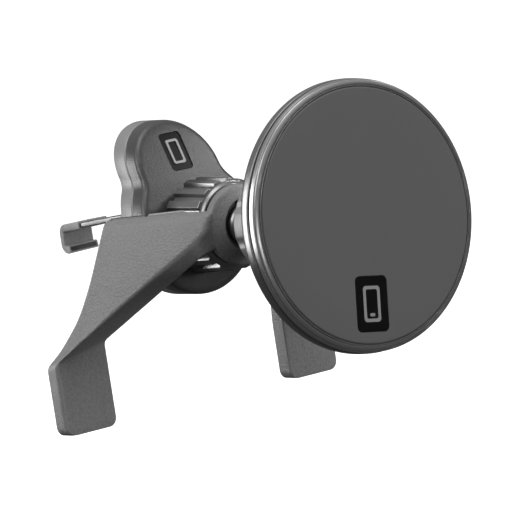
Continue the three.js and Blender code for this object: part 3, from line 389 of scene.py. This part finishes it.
def cut(piece, *cutters, exact_self=False):
    """Cuts closed pieces out of another and removes them."""
    for cutter in cutters:
        step = piece.modifiers.new("cut", "BOOLEAN")
        step.operation = "DIFFERENCE"
        step.solver = "EXACT"
        step.use_self = exact_self
        step.object = cutter
    shaped = bpy.data.meshes.new_from_object(piece.evaluated_get(bpy.context.evaluated_depsgraph_get()))
    piece.modifiers.clear()
    piece.data = shaped
    for cutter in cutters:
        bpy.data.objects.remove(cutter)
    shaped.set_sharp_from_angle(angle=math.radians(32))
    return piece


def prism(name, points, front, back, soft=0.0, lean_by=0.0):
    """An outline in X and Z, drawn from front to back with a softened front edge."""
    cx = sum(p[0] for p in points) / len(points)
    cz = sum(p[1] for p in points) / len(points)

    def ring(y, inset):
        made = []
        for x, z in points:
            d = math.hypot(x - cx, z - cz)
            made.append((x - (x - cx) / d * inset, y + lean_by * (z - cz), z - (z - cz) / d * inset))
        return made

    def centre(y):
        return [(cx, y, cz)] * len(points)

    rings = [centre(front)]
    if soft:
        rings += [ring(front, 1.4 * soft), ring(front, soft), ring(front + 0.3 * soft, 0.3 * soft),
                  ring(front + soft, 0)]
    else:
        rings.append(ring(front, 0))
    rings += [ring(back, 0), centre(back)]
    return skinned(name, rings)


def rounded_block(width, height, radius, x=0.0, z=0.0, steps=6):
    """A rectangle in X and Z with round corners."""
    w, h, q = width / 2 - radius, height / 2 - radius, math.pi / 2
    return (arc(x + w, z + h, radius, 0, q, steps) + arc(x - w, z + h, radius, q, 2 * q, steps)
            + arc(x - w, z - h, radius, 2 * q, 3 * q, steps) + arc(x + w, z - h, radius, 3 * q, 4 * q, steps))


EDGE, EDGE_STEPS, FACE_STEPS = 1.15, 6, 12
BORE_R, SKIRT_ROOM_R, BORE_STEP = 8.3, 8.95, -6.2
front_rings = [leant(plate_outline(-0.3), FRONT_BACK), leant(plate_outline(0), FRONT_BACK - 0.3),
               leant(plate_outline(0), FRONT_FACE + EDGE)]
for k in range(1, EDGE_STEPS + 1):
    turn = math.pi / 2 * k / EDGE_STEPS
    edge_y = FRONT_FACE + EDGE * (1 - math.sin(turn))
    front_rings.append(leant(plate_outline(-EDGE * (1 - math.cos(turn))), edge_y))
for k in range(1, FACE_STEPS + 1):
    front_rings.append(leant(towards(plate_outline(-EDGE), BORE_R, k / FACE_STEPS), FRONT_FACE))
for bore in (BORE_R, SKIRT_ROOM_R):
    front_rings.append([(x, BORE_STEP, z) for x, z in towards(plate_outline(-EDGE), bore, 1)])
front_rings.append(leant(towards(plate_outline(-EDGE), SKIRT_ROOM_R, 1), FRONT_BACK))
plate = skinned("clamp_plate_front", front_rings, loop=True)

EMBLEM_X, EMBLEM_Z, EMBLEM_W, EMBLEM_H, EMBLEM_SOFT, EMBLEM_DEEP = 0.6, 16.3, 5.8, 8.3, 1.0, 0.35
emblem_y = FRONT_FACE + lean(EMBLEM_Z)
sunk = prism("emblem_cutter", rounded_block(EMBLEM_W, EMBLEM_H, EMBLEM_SOFT, EMBLEM_X, EMBLEM_Z),
             emblem_y - 3, emblem_y + EMBLEM_DEEP, lean_by=LEAN)
cut(plate, sunk)
fitted(plate, dark_plastic, "clamp", "shell_dark", "clamp_front_shell")


def pictogram(name, width, height, x, z, y, lean_by=0.0, place=UPRIGHT):
    """A plain phone sign: a rounded frame line with a short home line low inside it."""
    thick, line = 0.5, 0.16
    outer = rounded_block(width, height, 0.18 * width, x, z)
    inner = rounded_block(width - 2 * line * width, height - 2 * line * width, 0.1 * width, x, z)

    def at(points, depth):
        return [(px, depth + lean_by * (pz - z), pz) for px, pz in points]

    rings = [at(outer, y), at(inner, y), at(inner, y + thick), at(outer, y + thick)]
    frame_line = skinned(name, rings, place, True)
    home = prism("home_line", rounded_block(0.3 * width, 0.09 * height, 0.04 * height, x, z - 0.3 * height),
                 y, y + thick, lean_by=lean_by)
    moved(home, place)
    bpy.context.view_layer.objects.active = frame_line
    with bpy.context.temp_override(active_object=frame_line, selected_editable_objects=[frame_line, home]):
        bpy.ops.object.join()
    return frame_line


gloss_black = finish("gloss black print", 0.003, 0.35, 900, 0.002, drift=0.3, speckle=0.2, spread=0.06,
                     wear_and_sheen=0.0, specular=0.12)
sign = pictogram("clamp_sign", 3.2, 5.3, EMBLEM_X, EMBLEM_Z, emblem_y + 0.02, lean_by=LEAN)
grey_plastic = finish("grey moulded plastic", 0.16, 0.36, 1900, 0.035, speckle=0.4, wear_and_sheen=0.3)
fitted(sign, grey_plastic, "clamp", "shell_grey")
floor_plate = prism("emblem_floor", rounded_block(EMBLEM_W - 0.1, EMBLEM_H - 0.1, 0.95, EMBLEM_X, EMBLEM_Z),
                    emblem_y + 0.28, emblem_y + 0.6, lean_by=LEAN)
fitted(floor_plate, gloss_black, "clamp", "gloss_black")

WALL, REAR_EDGE, REAR_EDGE_STEPS, INNER_STEPS, CENTRE = 1.7, 0.5, 3, 6, 0.001
rear_rings = [leant(plate_outline(-0.3), REAR_FACE), leant(plate_outline(0), REAR_FACE + 0.3),
              leant(plate_outline(0), REAR_BACK - REAR_EDGE)]
for k in range(1, REAR_EDGE_STEPS + 1):
    turn = math.pi / 2 * k / REAR_EDGE_STEPS
    edge_y = REAR_BACK - REAR_EDGE * (1 - math.sin(turn))
    rear_rings.append(leant(plate_outline(-REAR_EDGE * (1 - math.cos(turn))), edge_y))
for k in range(1, FACE_STEPS + 1):
    rear_rings.append(leant(towards(plate_outline(-REAR_EDGE), CENTRE, k / FACE_STEPS), REAR_BACK))
for k in range(INNER_STEPS + 1):
    rear_rings.append(leant(towards(plate_outline(-WALL), CENTRE, 1 - k / INNER_STEPS), REAR_BACK - WALL))
rear_rings.append(leant(plate_outline(-WALL), REAR_FACE))
back_shell = skinned("clamp_plate_rear", rear_rings, loop=True)


def peg(radius, y0, y1, x, z):
    """A round cutter along Y for a screw's head."""
    return prism("peg", arc(x, z, radius, 0, 2 * math.pi, 32), y0, y1)


SHELL_SCREW_X, SHELL_SCREW_Z, SCREW_ROOM_R = 6.2, 12.6, 2.0
HUB_SCREW_CIRCLE, HUB_SCREW_TURNS = 6.9, (-22, 202, 270)
SLOT_HALF, SLOT_LOW, SLOT_HIGH = 4.3, 1.1, 4.0
screw_lean = lean(SHELL_SCREW_Z)
slot = prism("slot", [(-SLOT_HALF, SLOT_LOW), (SLOT_HALF, SLOT_LOW), (SLOT_HALF, SLOT_HIGH),
                      (-SLOT_HALF, SLOT_HIGH)], -6, 1)
shell_rooms = [peg(SCREW_ROOM_R, -3.55 + screw_lean, 9, x, SHELL_SCREW_Z)
               for x in (-SHELL_SCREW_X, SHELL_SCREW_X)]
hub_rooms = [peg(SCREW_ROOM_R, -2.2, 1, HUB_SCREW_CIRCLE * math.cos(a), HUB_SCREW_CIRCLE * math.sin(a))
             for a in map(math.radians, HUB_SCREW_TURNS)]
cut(back_shell, slot, *shell_rooms, *hub_rooms)
fitted(back_shell, grey_plastic, "clamp", "shell_grey", "clamp_rear_shell")

# Two soft pads bonded behind the plate: the vent's blade bears on them.
rubber = finish("soft rubber", 0.03, 0.62, 1500, 0.05, speckle=0.4, spread=0.2, wear_and_sheen=0.25, specular=0.35)
PAD_INSET, PAD_T = 1.6, 0.9
for pad_name, low, high in (("rear_pad_lower", -50, 0.5), ("rear_pad_upper", 5.6, 50)):
    edge = [p for p in plate_outline(-PAD_INSET) if low < p[1] < high]
    start = max(range(len(edge)), key=lambda i: math.dist(edge[i], edge[i - 1]))
    edge = edge[start:] + edge[:start]
    mid_z = sum(p[1] for p in edge) / len(edge)

    def pad_ring(y, share):
        return leant([(x * share, mid_z + (z - mid_z) * share) for x, z in edge], y)

    glued = [pad_ring(-PAD_T, s) for s in (CENTRE, 0.4, 0.8, 1)]
    rounded = [pad_ring(-0.3, 1), pad_ring(-0.08, 0.985)]
    bearing_face = [pad_ring(0, s) for s in (0.96, 0.8, 0.5, 0.2, CENTRE)]
    pad = skinned(pad_name + "_soft", glued + rounded + bearing_face)
    fitted(pad, rubber, "clamp", "rubber", pad_name)

# ---- Steel hook ----
# A spring-steel strip 7.2 mm wide and 1 mm thick that the knob pulls in, riveted to its die-cast slider,
# bent down into a hook at its end and sleeved there with ribbed rubber so that it grips the blade.
STRIP_TOP, STRIP_BEND, STRIP_SLOPE, STRIP_T, STRIP_W = 3.5, 9.5, 0.1, 1.0, 7.2
HOOK_END, HOOK_DROP, HOOK_LIP, HOOK_CURL, SLEEVE_WALL, CORNER = 38.4, 6.3, 2.2, 0.15, 0.4, 1.2
SLEEVE_LENGTH, STRIP_START, TURN_STEPS = 8, 6.4, 12
TONGUE_W, TONGUE_FRONT, TONGUE_BACK = 5.2, -9.1, 7.4
WALL_Y = HOOK_END - SLEEVE_WALL - STRIP_T / 2
MIDDLE = STRIP_TOP - STRIP_SLOPE * (WALL_Y - CORNER - STRIP_BEND) - STRIP_T / 2
BOTTOM = MIDDLE - HOOK_DROP + SLEEVE_WALL + STRIP_T


def hook_line(start):
    """The strip's middle line in Y and Z from a start station round the bend to the hook's lip."""
    flat = STRIP_TOP - STRIP_T / 2
    line = [(start, flat - STRIP_SLOPE * max(0, start - STRIP_BEND))]
    if start < STRIP_BEND:
        line += [(STRIP_BEND - 1, flat), (STRIP_BEND + 0.5, flat - STRIP_SLOPE * 0.25),
                 (STRIP_BEND + 3, flat - STRIP_SLOPE * 3)]
    centre_y = WALL_Y - CORNER
    for centre_z, first in ((MIDDLE - CORNER, math.pi / 2), (BOTTOM + CORNER, 0)):
        for i in range(TURN_STEPS + 1):
            turn = first - math.pi / 2 * i / TURN_STEPS
            line.append((centre_y + CORNER * math.cos(turn), centre_z + CORNER * math.sin(turn)))
    return line + [(WALL_Y - HOOK_LIP, BOTTOM + HOOK_CURL)]


def strip_rings(line, width, thick, soft):
    """A flat bar's section with eased corners carried along a line in Y and Z."""
    rings = []
    for i, (y, z) in enumerate(line):
        before, after = line[max(0, i - 1)], line[min(len(line) - 1, i + 1)]
        length = math.dist(before, after)
        ny, nz = -(after[1] - before[1]) / length, (after[0] - before[0]) / length
        section = rounded_block(width, thick, soft, steps=3)
        rings.append([(sx, y + ny * sz, z + nz * sz) for sx, sz in section])
    return rings


def capped(rings):
    """Closes both ends of a run of rings with their centres."""
    def centre(ring):
        return [tuple(sum(p[k] for p in ring) / len(ring) for k in range(3))] * len(ring)
    return [centre(rings[0]), *rings, centre(rings[-1])]


strip = skinned("hook_strip_bent", capped(strip_rings(hook_line(STRIP_START), STRIP_W, STRIP_T, 0.18)))
tongue_section = rounded_block(TONGUE_W, STRIP_T, 0.12, z=STRIP_TOP - STRIP_T / 2, steps=2)
tongue_rings = [[(x, y, z) for x, z in tongue_section] for y in (TONGUE_FRONT, TONGUE_BACK)]
tongue = skinned("hook_tongue", capped(tongue_rings))
fitted(tongue, steel, "hook", "steel")
fitted(strip, steel, "hook", "steel", "hook_strip")
sleeve_line = hook_line(HOOK_END - SLEEVE_LENGTH)
outer = strip_rings(sleeve_line, STRIP_W + 2 * SLEEVE_WALL, STRIP_T + 2 * SLEEVE_WALL, 0.4)
inner = strip_rings(sleeve_line, STRIP_W + 0.02, STRIP_T + 0.02, 0.18)
sleeve = skinned("hook_sleeve_rubber", outer + inner[::-1], loop=True)
sleeve_grey = finish("ribbed sleeve rubber", 0.16, 0.5, 1300, 0.09, speckle=0.5, spread=0.25, wear_and_sheen=0.5)
fitted(sleeve, sleeve_grey, "hook", "rubber", "hook_sleeve")
kept("hook_slider", satin, 0.12)
kept("hook_rivet", steel, 0.05)

# ---- Support bracket ----
# One moulding: a ring that turns on the hub tube and two arms that sweep out and back to the feet. Each
# arm is an L in section, a slanted outer web with a flange that faces the driver. Feet are 13.6 by 16 mm.
# The full edge setting here paints a bright highlight line along the arms' bevels, with a little wear.
leg_plastic = finish("satin leg plastic", 0.14, 0.4, 2300, 0.12, speckle=0.8, wear_and_sheen=1.0)
FOOT_X, FOOT_W, FOOT_TOP, FOOT_RISE, FOOT_BOTTOM = 37.8, 13.6, -23.4, 2.4, -39.5
FOOT_T, FOOT_FRONT, FOOT_CORNER, FOOT_STRAIGHT = 4.2, -1.5, 2.0, -27
WEB, FLANGE = 2.5, 2.3


def between(a, b, share):
    """A point part of the way from one to another."""
    return tuple(p + (q - p) * share for p, q in zip(a, b))


kink, foot_outer = (-10.6, RING_FRONT, 0), (-FOOT_X, FOOT_FRONT, FOOT_TOP)
foot_inner = (-FOOT_X + FOOT_W, FOOT_FRONT, FOOT_TOP + FOOT_RISE)
rear_top, rear_middle = (-21.4, FOOT_FRONT - 2.4, 5.1), (-28.3, FOOT_FRONT - 2.4, -8.4)
rear_foot = (-FOOT_X, FOOT_FRONT + FOOT_T, FOOT_TOP - 1)
inner_start = (-11.2, RING_FRONT + 1, -5)
# Front outer edge, rear outer edge, front inner edge, flange thickness and how gently each bend runs.
arm_stations = [
    ((-8.1, RING_FRONT, 4.8), rear_top, (-4, RING_FRONT, 5), 1.0, 0),
    (kink, between(rear_top, rear_middle, 0.36), (-6, RING_FRONT, -3.4), 1.0, 1.5),
    (between(kink, foot_outer, 0.08), between(rear_top, rear_middle, 0.52), inner_start, 1.0, 1.5),
    (between(kink, foot_outer, 0.36), rear_middle, between(inner_start, foot_inner, 0.3), 1.25, 3),
    (between(kink, foot_outer, 0.66), (-31.8, -2.9, -15.1), between(inner_start, foot_inner, 0.64), 1.4, 3),
    (between(kink, foot_outer, 0.9), (-35.5, 0.1, -21.2), between(inner_start, foot_inner, 0.9), 1.5, 2),
    (foot_outer, rear_foot, foot_inner, 1.6, 1.0),
    *[((-FOOT_X, FOOT_FRONT, z), (-FOOT_X, FOOT_FRONT + FOOT_T, z), (-FOOT_X + FOOT_W, FOOT_FRONT, z),
       FOOT_T / FLANGE, ease) for z, ease in ((FOOT_STRAIGHT, 1.0), (FOOT_BOTTOM + FOOT_CORNER, 0.6))],
]


def arm_section(front, rear, inner, flange):
    """The arm's L from its front outer, rear outer and front inner edges."""
    across = inner[0] - front[0]
    corner = between(front, inner, min(0.9, WEB / across))
    thick = flange * FLANGE
    return [front, rear, (rear[0] + WEB, rear[1], rear[2]), (corner[0], corner[1] + thick, corner[2]),
            (inner[0], inner[1] + thick, inner[2]), inner]


sections = [arm_section(*s[:4]) for s in arm_stations]
paths = [eased([(*section[i], s[4]) for section, s in zip(sections, arm_stations)], 4) for i in range(6)]
CORNER_EASE = (1.1, 0.9, 0.4, 1.6, 0.4, 0.5)
arm_rings = []
for corners in zip(*paths):
    looped = [corners[-1], *corners, corners[0]]
    ring = eased([(*p, e) for p, e in zip(looped, (0, *CORNER_EASE, 0))], 4)[1:-1]
    arm_rings.append(ring)
# The foot's two bottom corners are rounded.
ROUND_STEPS = 8
bottom = arm_rings[-1]
centre_x = -FOOT_X + FOOT_W / 2
for k in range(1, ROUND_STEPS + 1):
    turn = math.pi / 2 * k / ROUND_STEPS
    share = 1 - FOOT_CORNER * (1 - math.cos(turn)) / (FOOT_W / 2)
    foot_z = FOOT_BOTTOM + FOOT_CORNER * (1 - math.sin(turn))
    arm_rings.append([(centre_x + (p[0] - centre_x) * share, p[1], foot_z) for p in bottom])
# The arm's top edge is folded over in a broad round.
FOLD, INWARD = 1.9, Vector((0.80, 0.52, -0.30)).normalized()
FIRST_STEP, OUTER_POINTS, INNER_SHARE = 3.4, 10, 0.15
fold_rings = []
for k in range(ROUND_STEPS + 1):
    turn = math.pi / 2 * k / ROUND_STEPS
    inset, drop = FOLD * (1 - math.sin(turn)), FOLD * (1 - math.cos(turn))
    level_ring = [Vector(between(p, q, drop / FIRST_STEP)) for p, q in zip(arm_rings[0], arm_rings[1])]
    fold_rings.append([p + INWARD * inset * (1 if i < OUTER_POINTS else INNER_SHARE)
                       for i, p in enumerate(level_ring)])
arm_rings = capped(fold_rings + arm_rings[1:])
left_arm = skinned("leg_bracket_moulded", arm_rings, crease=40)
right_arm = skinned("right_arm", [[(-x, y, z) for x, y, z in ring] for ring in arm_rings], crease=40)
ring_plate = turned("ring_plate", [
    (5.25, -22.6, 0), (8.4, -22.6, 0.2), (8.8, -23.0, 0.3), (8.8, -24.3, 0.5), (8.3, -24.85, 0.5),
    (7.4, -25.35, 0.3), (5.95, -26.35, 0.2), (5.75, -26.4, 0.1), (5.75, -24.5, 0), (5.25, -24.5, 0),
], segments=96, loop=True)
# Both arms leave room for the knob, the clamp plate and the hub's nose.
KNOB_ROOM = [(0, -22.45, 0), (9.15, -22.45, 0), (10.45, GRIP_FRONT, 0), (10.8, KNOB_BACK, 0), (10.8, 20, 0),
             (0, 20, 0)]
PLATE_ROOM = [(0, -10.5, 0), (15.45, -10.5, 0), (15.45, 20, 0), (0, 20, 0)]
BORE_ROOM = [(0, -80, 0), (5.8, -80, 0), (5.8, -10, 0), (0, -10, 0)]
for arm in (left_arm, right_arm):
    cut(arm, turned("knob_room", KNOB_ROOM), turned("plate_room", PLATE_ROOM),
        turned("bore_room", BORE_ROOM), exact_self=True)
for part in (right_arm, ring_plate):
    union = left_arm.modifiers.new("join", "BOOLEAN")
    union.operation = "UNION"
    union.solver = "EXACT"
    union.use_self = True
    union.object = part
bracket_mesh = bpy.data.meshes.new_from_object(left_arm.evaluated_get(bpy.context.evaluated_depsgraph_get()))
left_arm.modifiers.clear()
left_arm.data = bracket_mesh
bracket_mesh.set_sharp_from_angle(angle=math.radians(40))
for part in (right_arm, ring_plate):
    bpy.data.objects.remove(part)
fitted(left_arm, leg_plastic, "legs", "leg_grey", "leg_bracket")

# Rubber pads glued behind the feet.
FOOT_PAD_W, FOOT_PAD_H, FOOT_PAD_Z, FOOT_PAD_BACK, FOOT_PAD_FRONT = 10.6, 13.1, -31.85, 4.0, 2.8
for side, node in ((-1, "foot_pad_left"), (1, "foot_pad_right")):
    points = rounded_block(FOOT_PAD_W, FOOT_PAD_H, 1.6, side * (FOOT_X - FOOT_W / 2), FOOT_PAD_Z)
    pad = prism(node + "_soft", points, -FOOT_PAD_BACK, -FOOT_PAD_FRONT, 0.35)
    pad.data.transform(Matrix.Diagonal((1, -1, 1, 1)))
    pad.data.flip_normals()
    fitted(pad, rubber, "legs", "rubber", node)

# ---- Ball joint seats and lock nut ----
# Two acetal seat rings hold the ball between them, and the fluted nut on the head's neck
# squeezes them. The nut is 20 mm across and 9.4 mm long with eight shallow flutes.
HEAD = (Matrix.Translation((0, BALL_Y, 0)) @ Matrix.Rotation(math.radians(-0.5), 4, "Z")
        @ Matrix.Rotation(math.radians(-2.8), 4, "X") @ Matrix.Rotation(math.radians(8.5), 4, "Y"))
acetal = finish("acetal liner", 0.4, 0.35, 2200, 0.01, wear_and_sheen=0.1)
kept("ball_seat_front", acetal, 0)
kept("ball_seat_rear", acetal, 0)
nut_plastic = finish("nut plastic", 0.16, 0.38, 1900, 0.02, speckle=0.25, wear_and_sheen=0.4)
NUT_R, NUT_BACK, NUT_FRONT, FLUTES = 10.2, 2.4, -7.0, 8
FLUTE_R, FLUTE_CENTRE, FLUTE_FLOOR, FLUTED_FROM = 2.1, NUT_R + 1.6, 9.62, 9.45


def fluted(r, y, angle):
    """The nut's radius by angle: round flutes with a flat floor."""
    share = (angle * FLUTES / (2 * math.pi)) % 1
    off = abs(share - 0.5) * 2 * math.pi / FLUTES * FLUTE_CENTRE
    if r < FLUTED_FROM or off >= FLUTE_R:
        return r
    dip = FLUTE_CENTRE - math.sqrt(FLUTE_R**2 - off**2)
    return min(r, max(dip, FLUTE_FLOOR))


nut = turned("lock_nut_fluted", [
    (9.4, NUT_FRONT, 0), (9.7, NUT_FRONT, 0.1), (NUT_R, NUT_FRONT + 0.5, 0.3), (NUT_R, NUT_BACK - 0.7, 0.4),
    (9.5, NUT_BACK, 0.3), (6.85, NUT_BACK, 0.1), (7.02, NUT_BACK - 0.6, 0), (9.4, NUT_BACK - 0.6, 0),
], place=HEAD, segments=FLUTES * 24, loop=True, outline=fluted, crease=45)
fitted(nut, nut_plastic, "nut", "nut_grey", "lock_nut")

# ---- Magnetic head ----
# A die-cast cup 58 mm across on a threaded neck, with a bezel that clips a soft grey face to it. Inside
# are the magnet carrier, twelve magnets and their steel ring, which nobody sees.
FACE_Y = -31.7


def deep(corners):
    """Corners given by depth behind the face."""
    return [(r, FACE_Y + depth, soft) for r, depth, soft in corners]


cover = turned("head_cover_cast", [
    (0, -8.95, 0), (4, -8.95, 0), (8.05, -6, 0), (8.05, 1, 0), (9.05, 1, 0.2), (9.05, -14.5, 1.2),
    (11, -17.5, 2), *deep([(19, 9.6, 4), (25.6, 7.2, 2.5), (28.2, 5.75, 1), (29, 4.8, 0.8), (29, 2.8, 0.15),
                           (28.8, 2.65, 0.1), (27.5, 2.65, 0), (27.5, 4.9, 0), (25.1, 6.3, 0), (15, 7.6, 0),
                           (0, 7.6, 0)]),
], place=HEAD, segments=192)
fitted(cover, satin, "head", "satin_metal", "head_cover")

bezel_metal = finish("turned bezel", 0.32, 0.3, 2600, 0.004, metallic=0.85, wear_and_sheen=0.6)
bezel = turned("front_bezel_turned", deep([
    (0, 1.3, 0), (27.15, 1.3, 0), (27.15, 0.3, 0), (27.2, 0.14, 0.03), (27.38, 0.14, 0.05), (27.42, 0.5, 0),
    (27.55, 0.5, 0), (27.6, 0.22, 0.08), (28.0, 0.3, 0.2), (28.55, 0.66, 0.2), (28.56, 0.9, 0.02),
    (28.8, 0.95, 0.12), (28.8, 2.2, 0.12), (28.7, 2.3, 0.05),
    (27.2, 2.3, 0), (27.2, 3.2, 0), (26.5, 3.2, 0), (26.5, 2.3, 0), (0, 2.3, 0),
]), place=HEAD, segments=192)
fitted(bezel, bezel_metal, "head", "satin_metal", "front_bezel")

BADGE_W, BADGE_H, BADGE_Z, BADGE_SOFT = 8.2, 11.7, -18.6, 1.2
face_grey = finish("soft-touch grey", 0.086, 0.55, 1300, 0.004, drift=0.05, speckle=0.05, spread=0.05,
                   wear_and_sheen=0.0, specular=0.35)
face = turned("face_pad_soft", deep([
    (0, 1, 0), (27.1, 1, 0), (27.1, 0.35, 0.1), (26.78, 0.0, 0.12), (20, 0, 0), (10, 0, 0), (0, 0, 0),
]), place=HEAD, segments=192)
room = prism("badge_room", rounded_block(BADGE_W + 0.24, BADGE_H + 0.24, BADGE_SOFT + 0.12, 0, BADGE_Z),
             FACE_Y - 1, FACE_Y + 0.5)
cut(face, moved(room, HEAD))
fitted(face, face_grey, "head", "face_pad", "face_pad")
badge = prism("face_badge_gloss", rounded_block(BADGE_W, BADGE_H, BADGE_SOFT, 0, BADGE_Z), FACE_Y + 0.04,
              FACE_Y + 0.4, 0.1)
fitted(moved(badge, HEAD), gloss_black, "head", "gloss_black", "face_badge")
sign_grey = finish("printed sign grey", 0.2, 0.4, 1500, 0.002, wear_and_sheen=0.0)
face_sign = pictogram("face_sign", 4.4, 7.6, 0, BADGE_Z, FACE_Y + 0.03, place=HEAD)
fitted(face_sign, sign_grey, "head", "face_pad")

nickel = finish("nickel plated magnet", 0.6, 0.22, 1200, 0.004, metallic=1, wear_and_sheen=0.1)
kept("magnet_carrier", dark_plastic, 0.1)
kept("steel_shunt", steel, 0.08)
for number in range(1, 13):
    kept(f"magnet_{number}", nickel, 0.12)

# ---- Studio: a pale floor, soft lights and the camera ----
floor_mesh = bpy.data.meshes.new("studio_floor")
FLOOR, FLOOR_Z = 6.0, -0.075
floor_mesh.from_pydata([(-FLOOR, -FLOOR, 0), (FLOOR, -FLOOR, 0), (FLOOR, FLOOR, 0), (-FLOOR, FLOOR, 0)],
                       [], [(0, 1, 2, 3)])
floor = bpy.data.objects.new("studio_floor", floor_mesh)
floor.location.z = FLOOR_Z
bpy.context.scene.collection.objects.link(floor)
pale = bpy.data.materials.new("pale floor")
pale.use_nodes = True
paper = pale.node_tree.nodes["Principled BSDF"]
paper.inputs["Base Color"].default_value = (0.93, 0.93, 0.93, 1)
paper.inputs["Roughness"].default_value = 0.8
paper.inputs["Emission Color"].default_value = (1, 1, 1, 1)
paper.inputs["Emission Strength"].default_value = 0.45
floor_mesh.materials.append(pale)
floor.visible_diffuse = False
floor.visible_glossy = False

world = bpy.data.worlds.new("studio")
world.use_nodes = True
sky = world.node_tree
backdrop = sky.nodes["Background"]
direction = sky.nodes.new("ShaderNodeTexCoord")
split = sky.nodes.new("ShaderNodeSeparateXYZ")
sky.links.new(direction.outputs["Generated"], split.inputs[0])
height_ramp = sky.nodes.new("ShaderNodeValToRGB")
height_ramp.color_ramp.interpolation = "EASE"
for at, grey in ((0.30, 0.07), (0.50, 0.09), (0.62, 0.2), (0.80, 0.5)):
    stop = height_ramp.color_ramp.elements.new(at)
    stop.color = (grey, grey, grey, 1)
height_ramp.color_ramp.elements[0].color = (0.07, 0.07, 0.07, 1)
half = math_node(sky, "ADD", math_node(sky, "MULTIPLY", split.outputs["Z"], 0.5), 0.5)
sky.links.new(half, height_ramp.inputs["Fac"])
seen = sky.nodes.new("ShaderNodeLightPath")
choose = sky.nodes.new("ShaderNodeMix")
choose.data_type = "RGBA"
sky.links.new(seen.outputs["Is Camera Ray"], choose.inputs["Factor"])
sky.links.new(height_ramp.outputs["Color"], choose.inputs["A"])
choose.inputs["B"].default_value = (1, 1, 1, 1)
sky.links.new(choose.outputs["Result"], backdrop.inputs["Color"])
backdrop.inputs["Strength"].default_value = 1.0
bpy.context.scene.world = world


def softbox(name, place, target, width, height, power):
    """A rectangular lamp at a place, aimed at a target."""
    data = bpy.data.lights.new(name, "AREA")
    data.shape = "RECTANGLE"
    data.size, data.size_y, data.energy = width, height, power
    lamp = bpy.data.objects.new(name, data)
    lamp.location = place
    lamp.rotation_euler = (Vector(target) - Vector(place)).to_track_quat("-Z", "Y").to_euler()
    bpy.context.scene.collection.objects.link(lamp)
    return lamp


HEART = (0, -0.03, 0)
softbox("left softbox", (-0.80, -0.10, 0.66), HEART, 0.6, 0.6, 5.6)
softbox("back strip", (-0.62, 0.80, 0.10), HEART, 0.40, 0.60, 6.5)
softbox("near right light", (0.052, -0.046, 0.052), (0.006, -0.005, 0.014), 0.012, 0.012, 0.010)
face_fill = softbox("face fill", (0.85, -1.0, 0.0), HEART, 0.4, 0.4, 18)
face_fill.visible_glossy = False
softbox("low front strip", (-0.30, -0.70, -0.02), HEART, 0.15, 0.08, 0.6)
softbox("top softbox", (0.0, -0.2, 1.0), HEART, 0.5, 0.5, 3)

AZIMUTH, ELEVATION, ROLL = math.radians(36.757), math.radians(6.319), math.radians(8.839)
forward = Vector((math.sin(AZIMUTH) * math.cos(ELEVATION), math.cos(AZIMUTH) * math.cos(ELEVATION),
                  -math.sin(ELEVATION)))
level = Vector((math.cos(AZIMUTH), -math.sin(AZIMUTH), 0))
upright = level.cross(forward)
right = level * math.cos(ROLL) - upright * math.sin(ROLL)
up = level * math.sin(ROLL) + upright * math.cos(ROLL)
camera_data = bpy.data.cameras.new("studio_camera")
camera_data.lens = 397
camera_data.sensor_width = 36
camera = bpy.data.objects.new("studio_camera", camera_data)
camera.matrix_world = Matrix.Translation((-0.7265, -1.0009, 0.1271)) @ Matrix(
    (right, up, -forward)).transposed().to_4x4()
bpy.context.scene.collection.objects.link(camera)
bpy.context.scene.camera = camera
bpy.context.scene.view_settings.view_transform = "Standard"
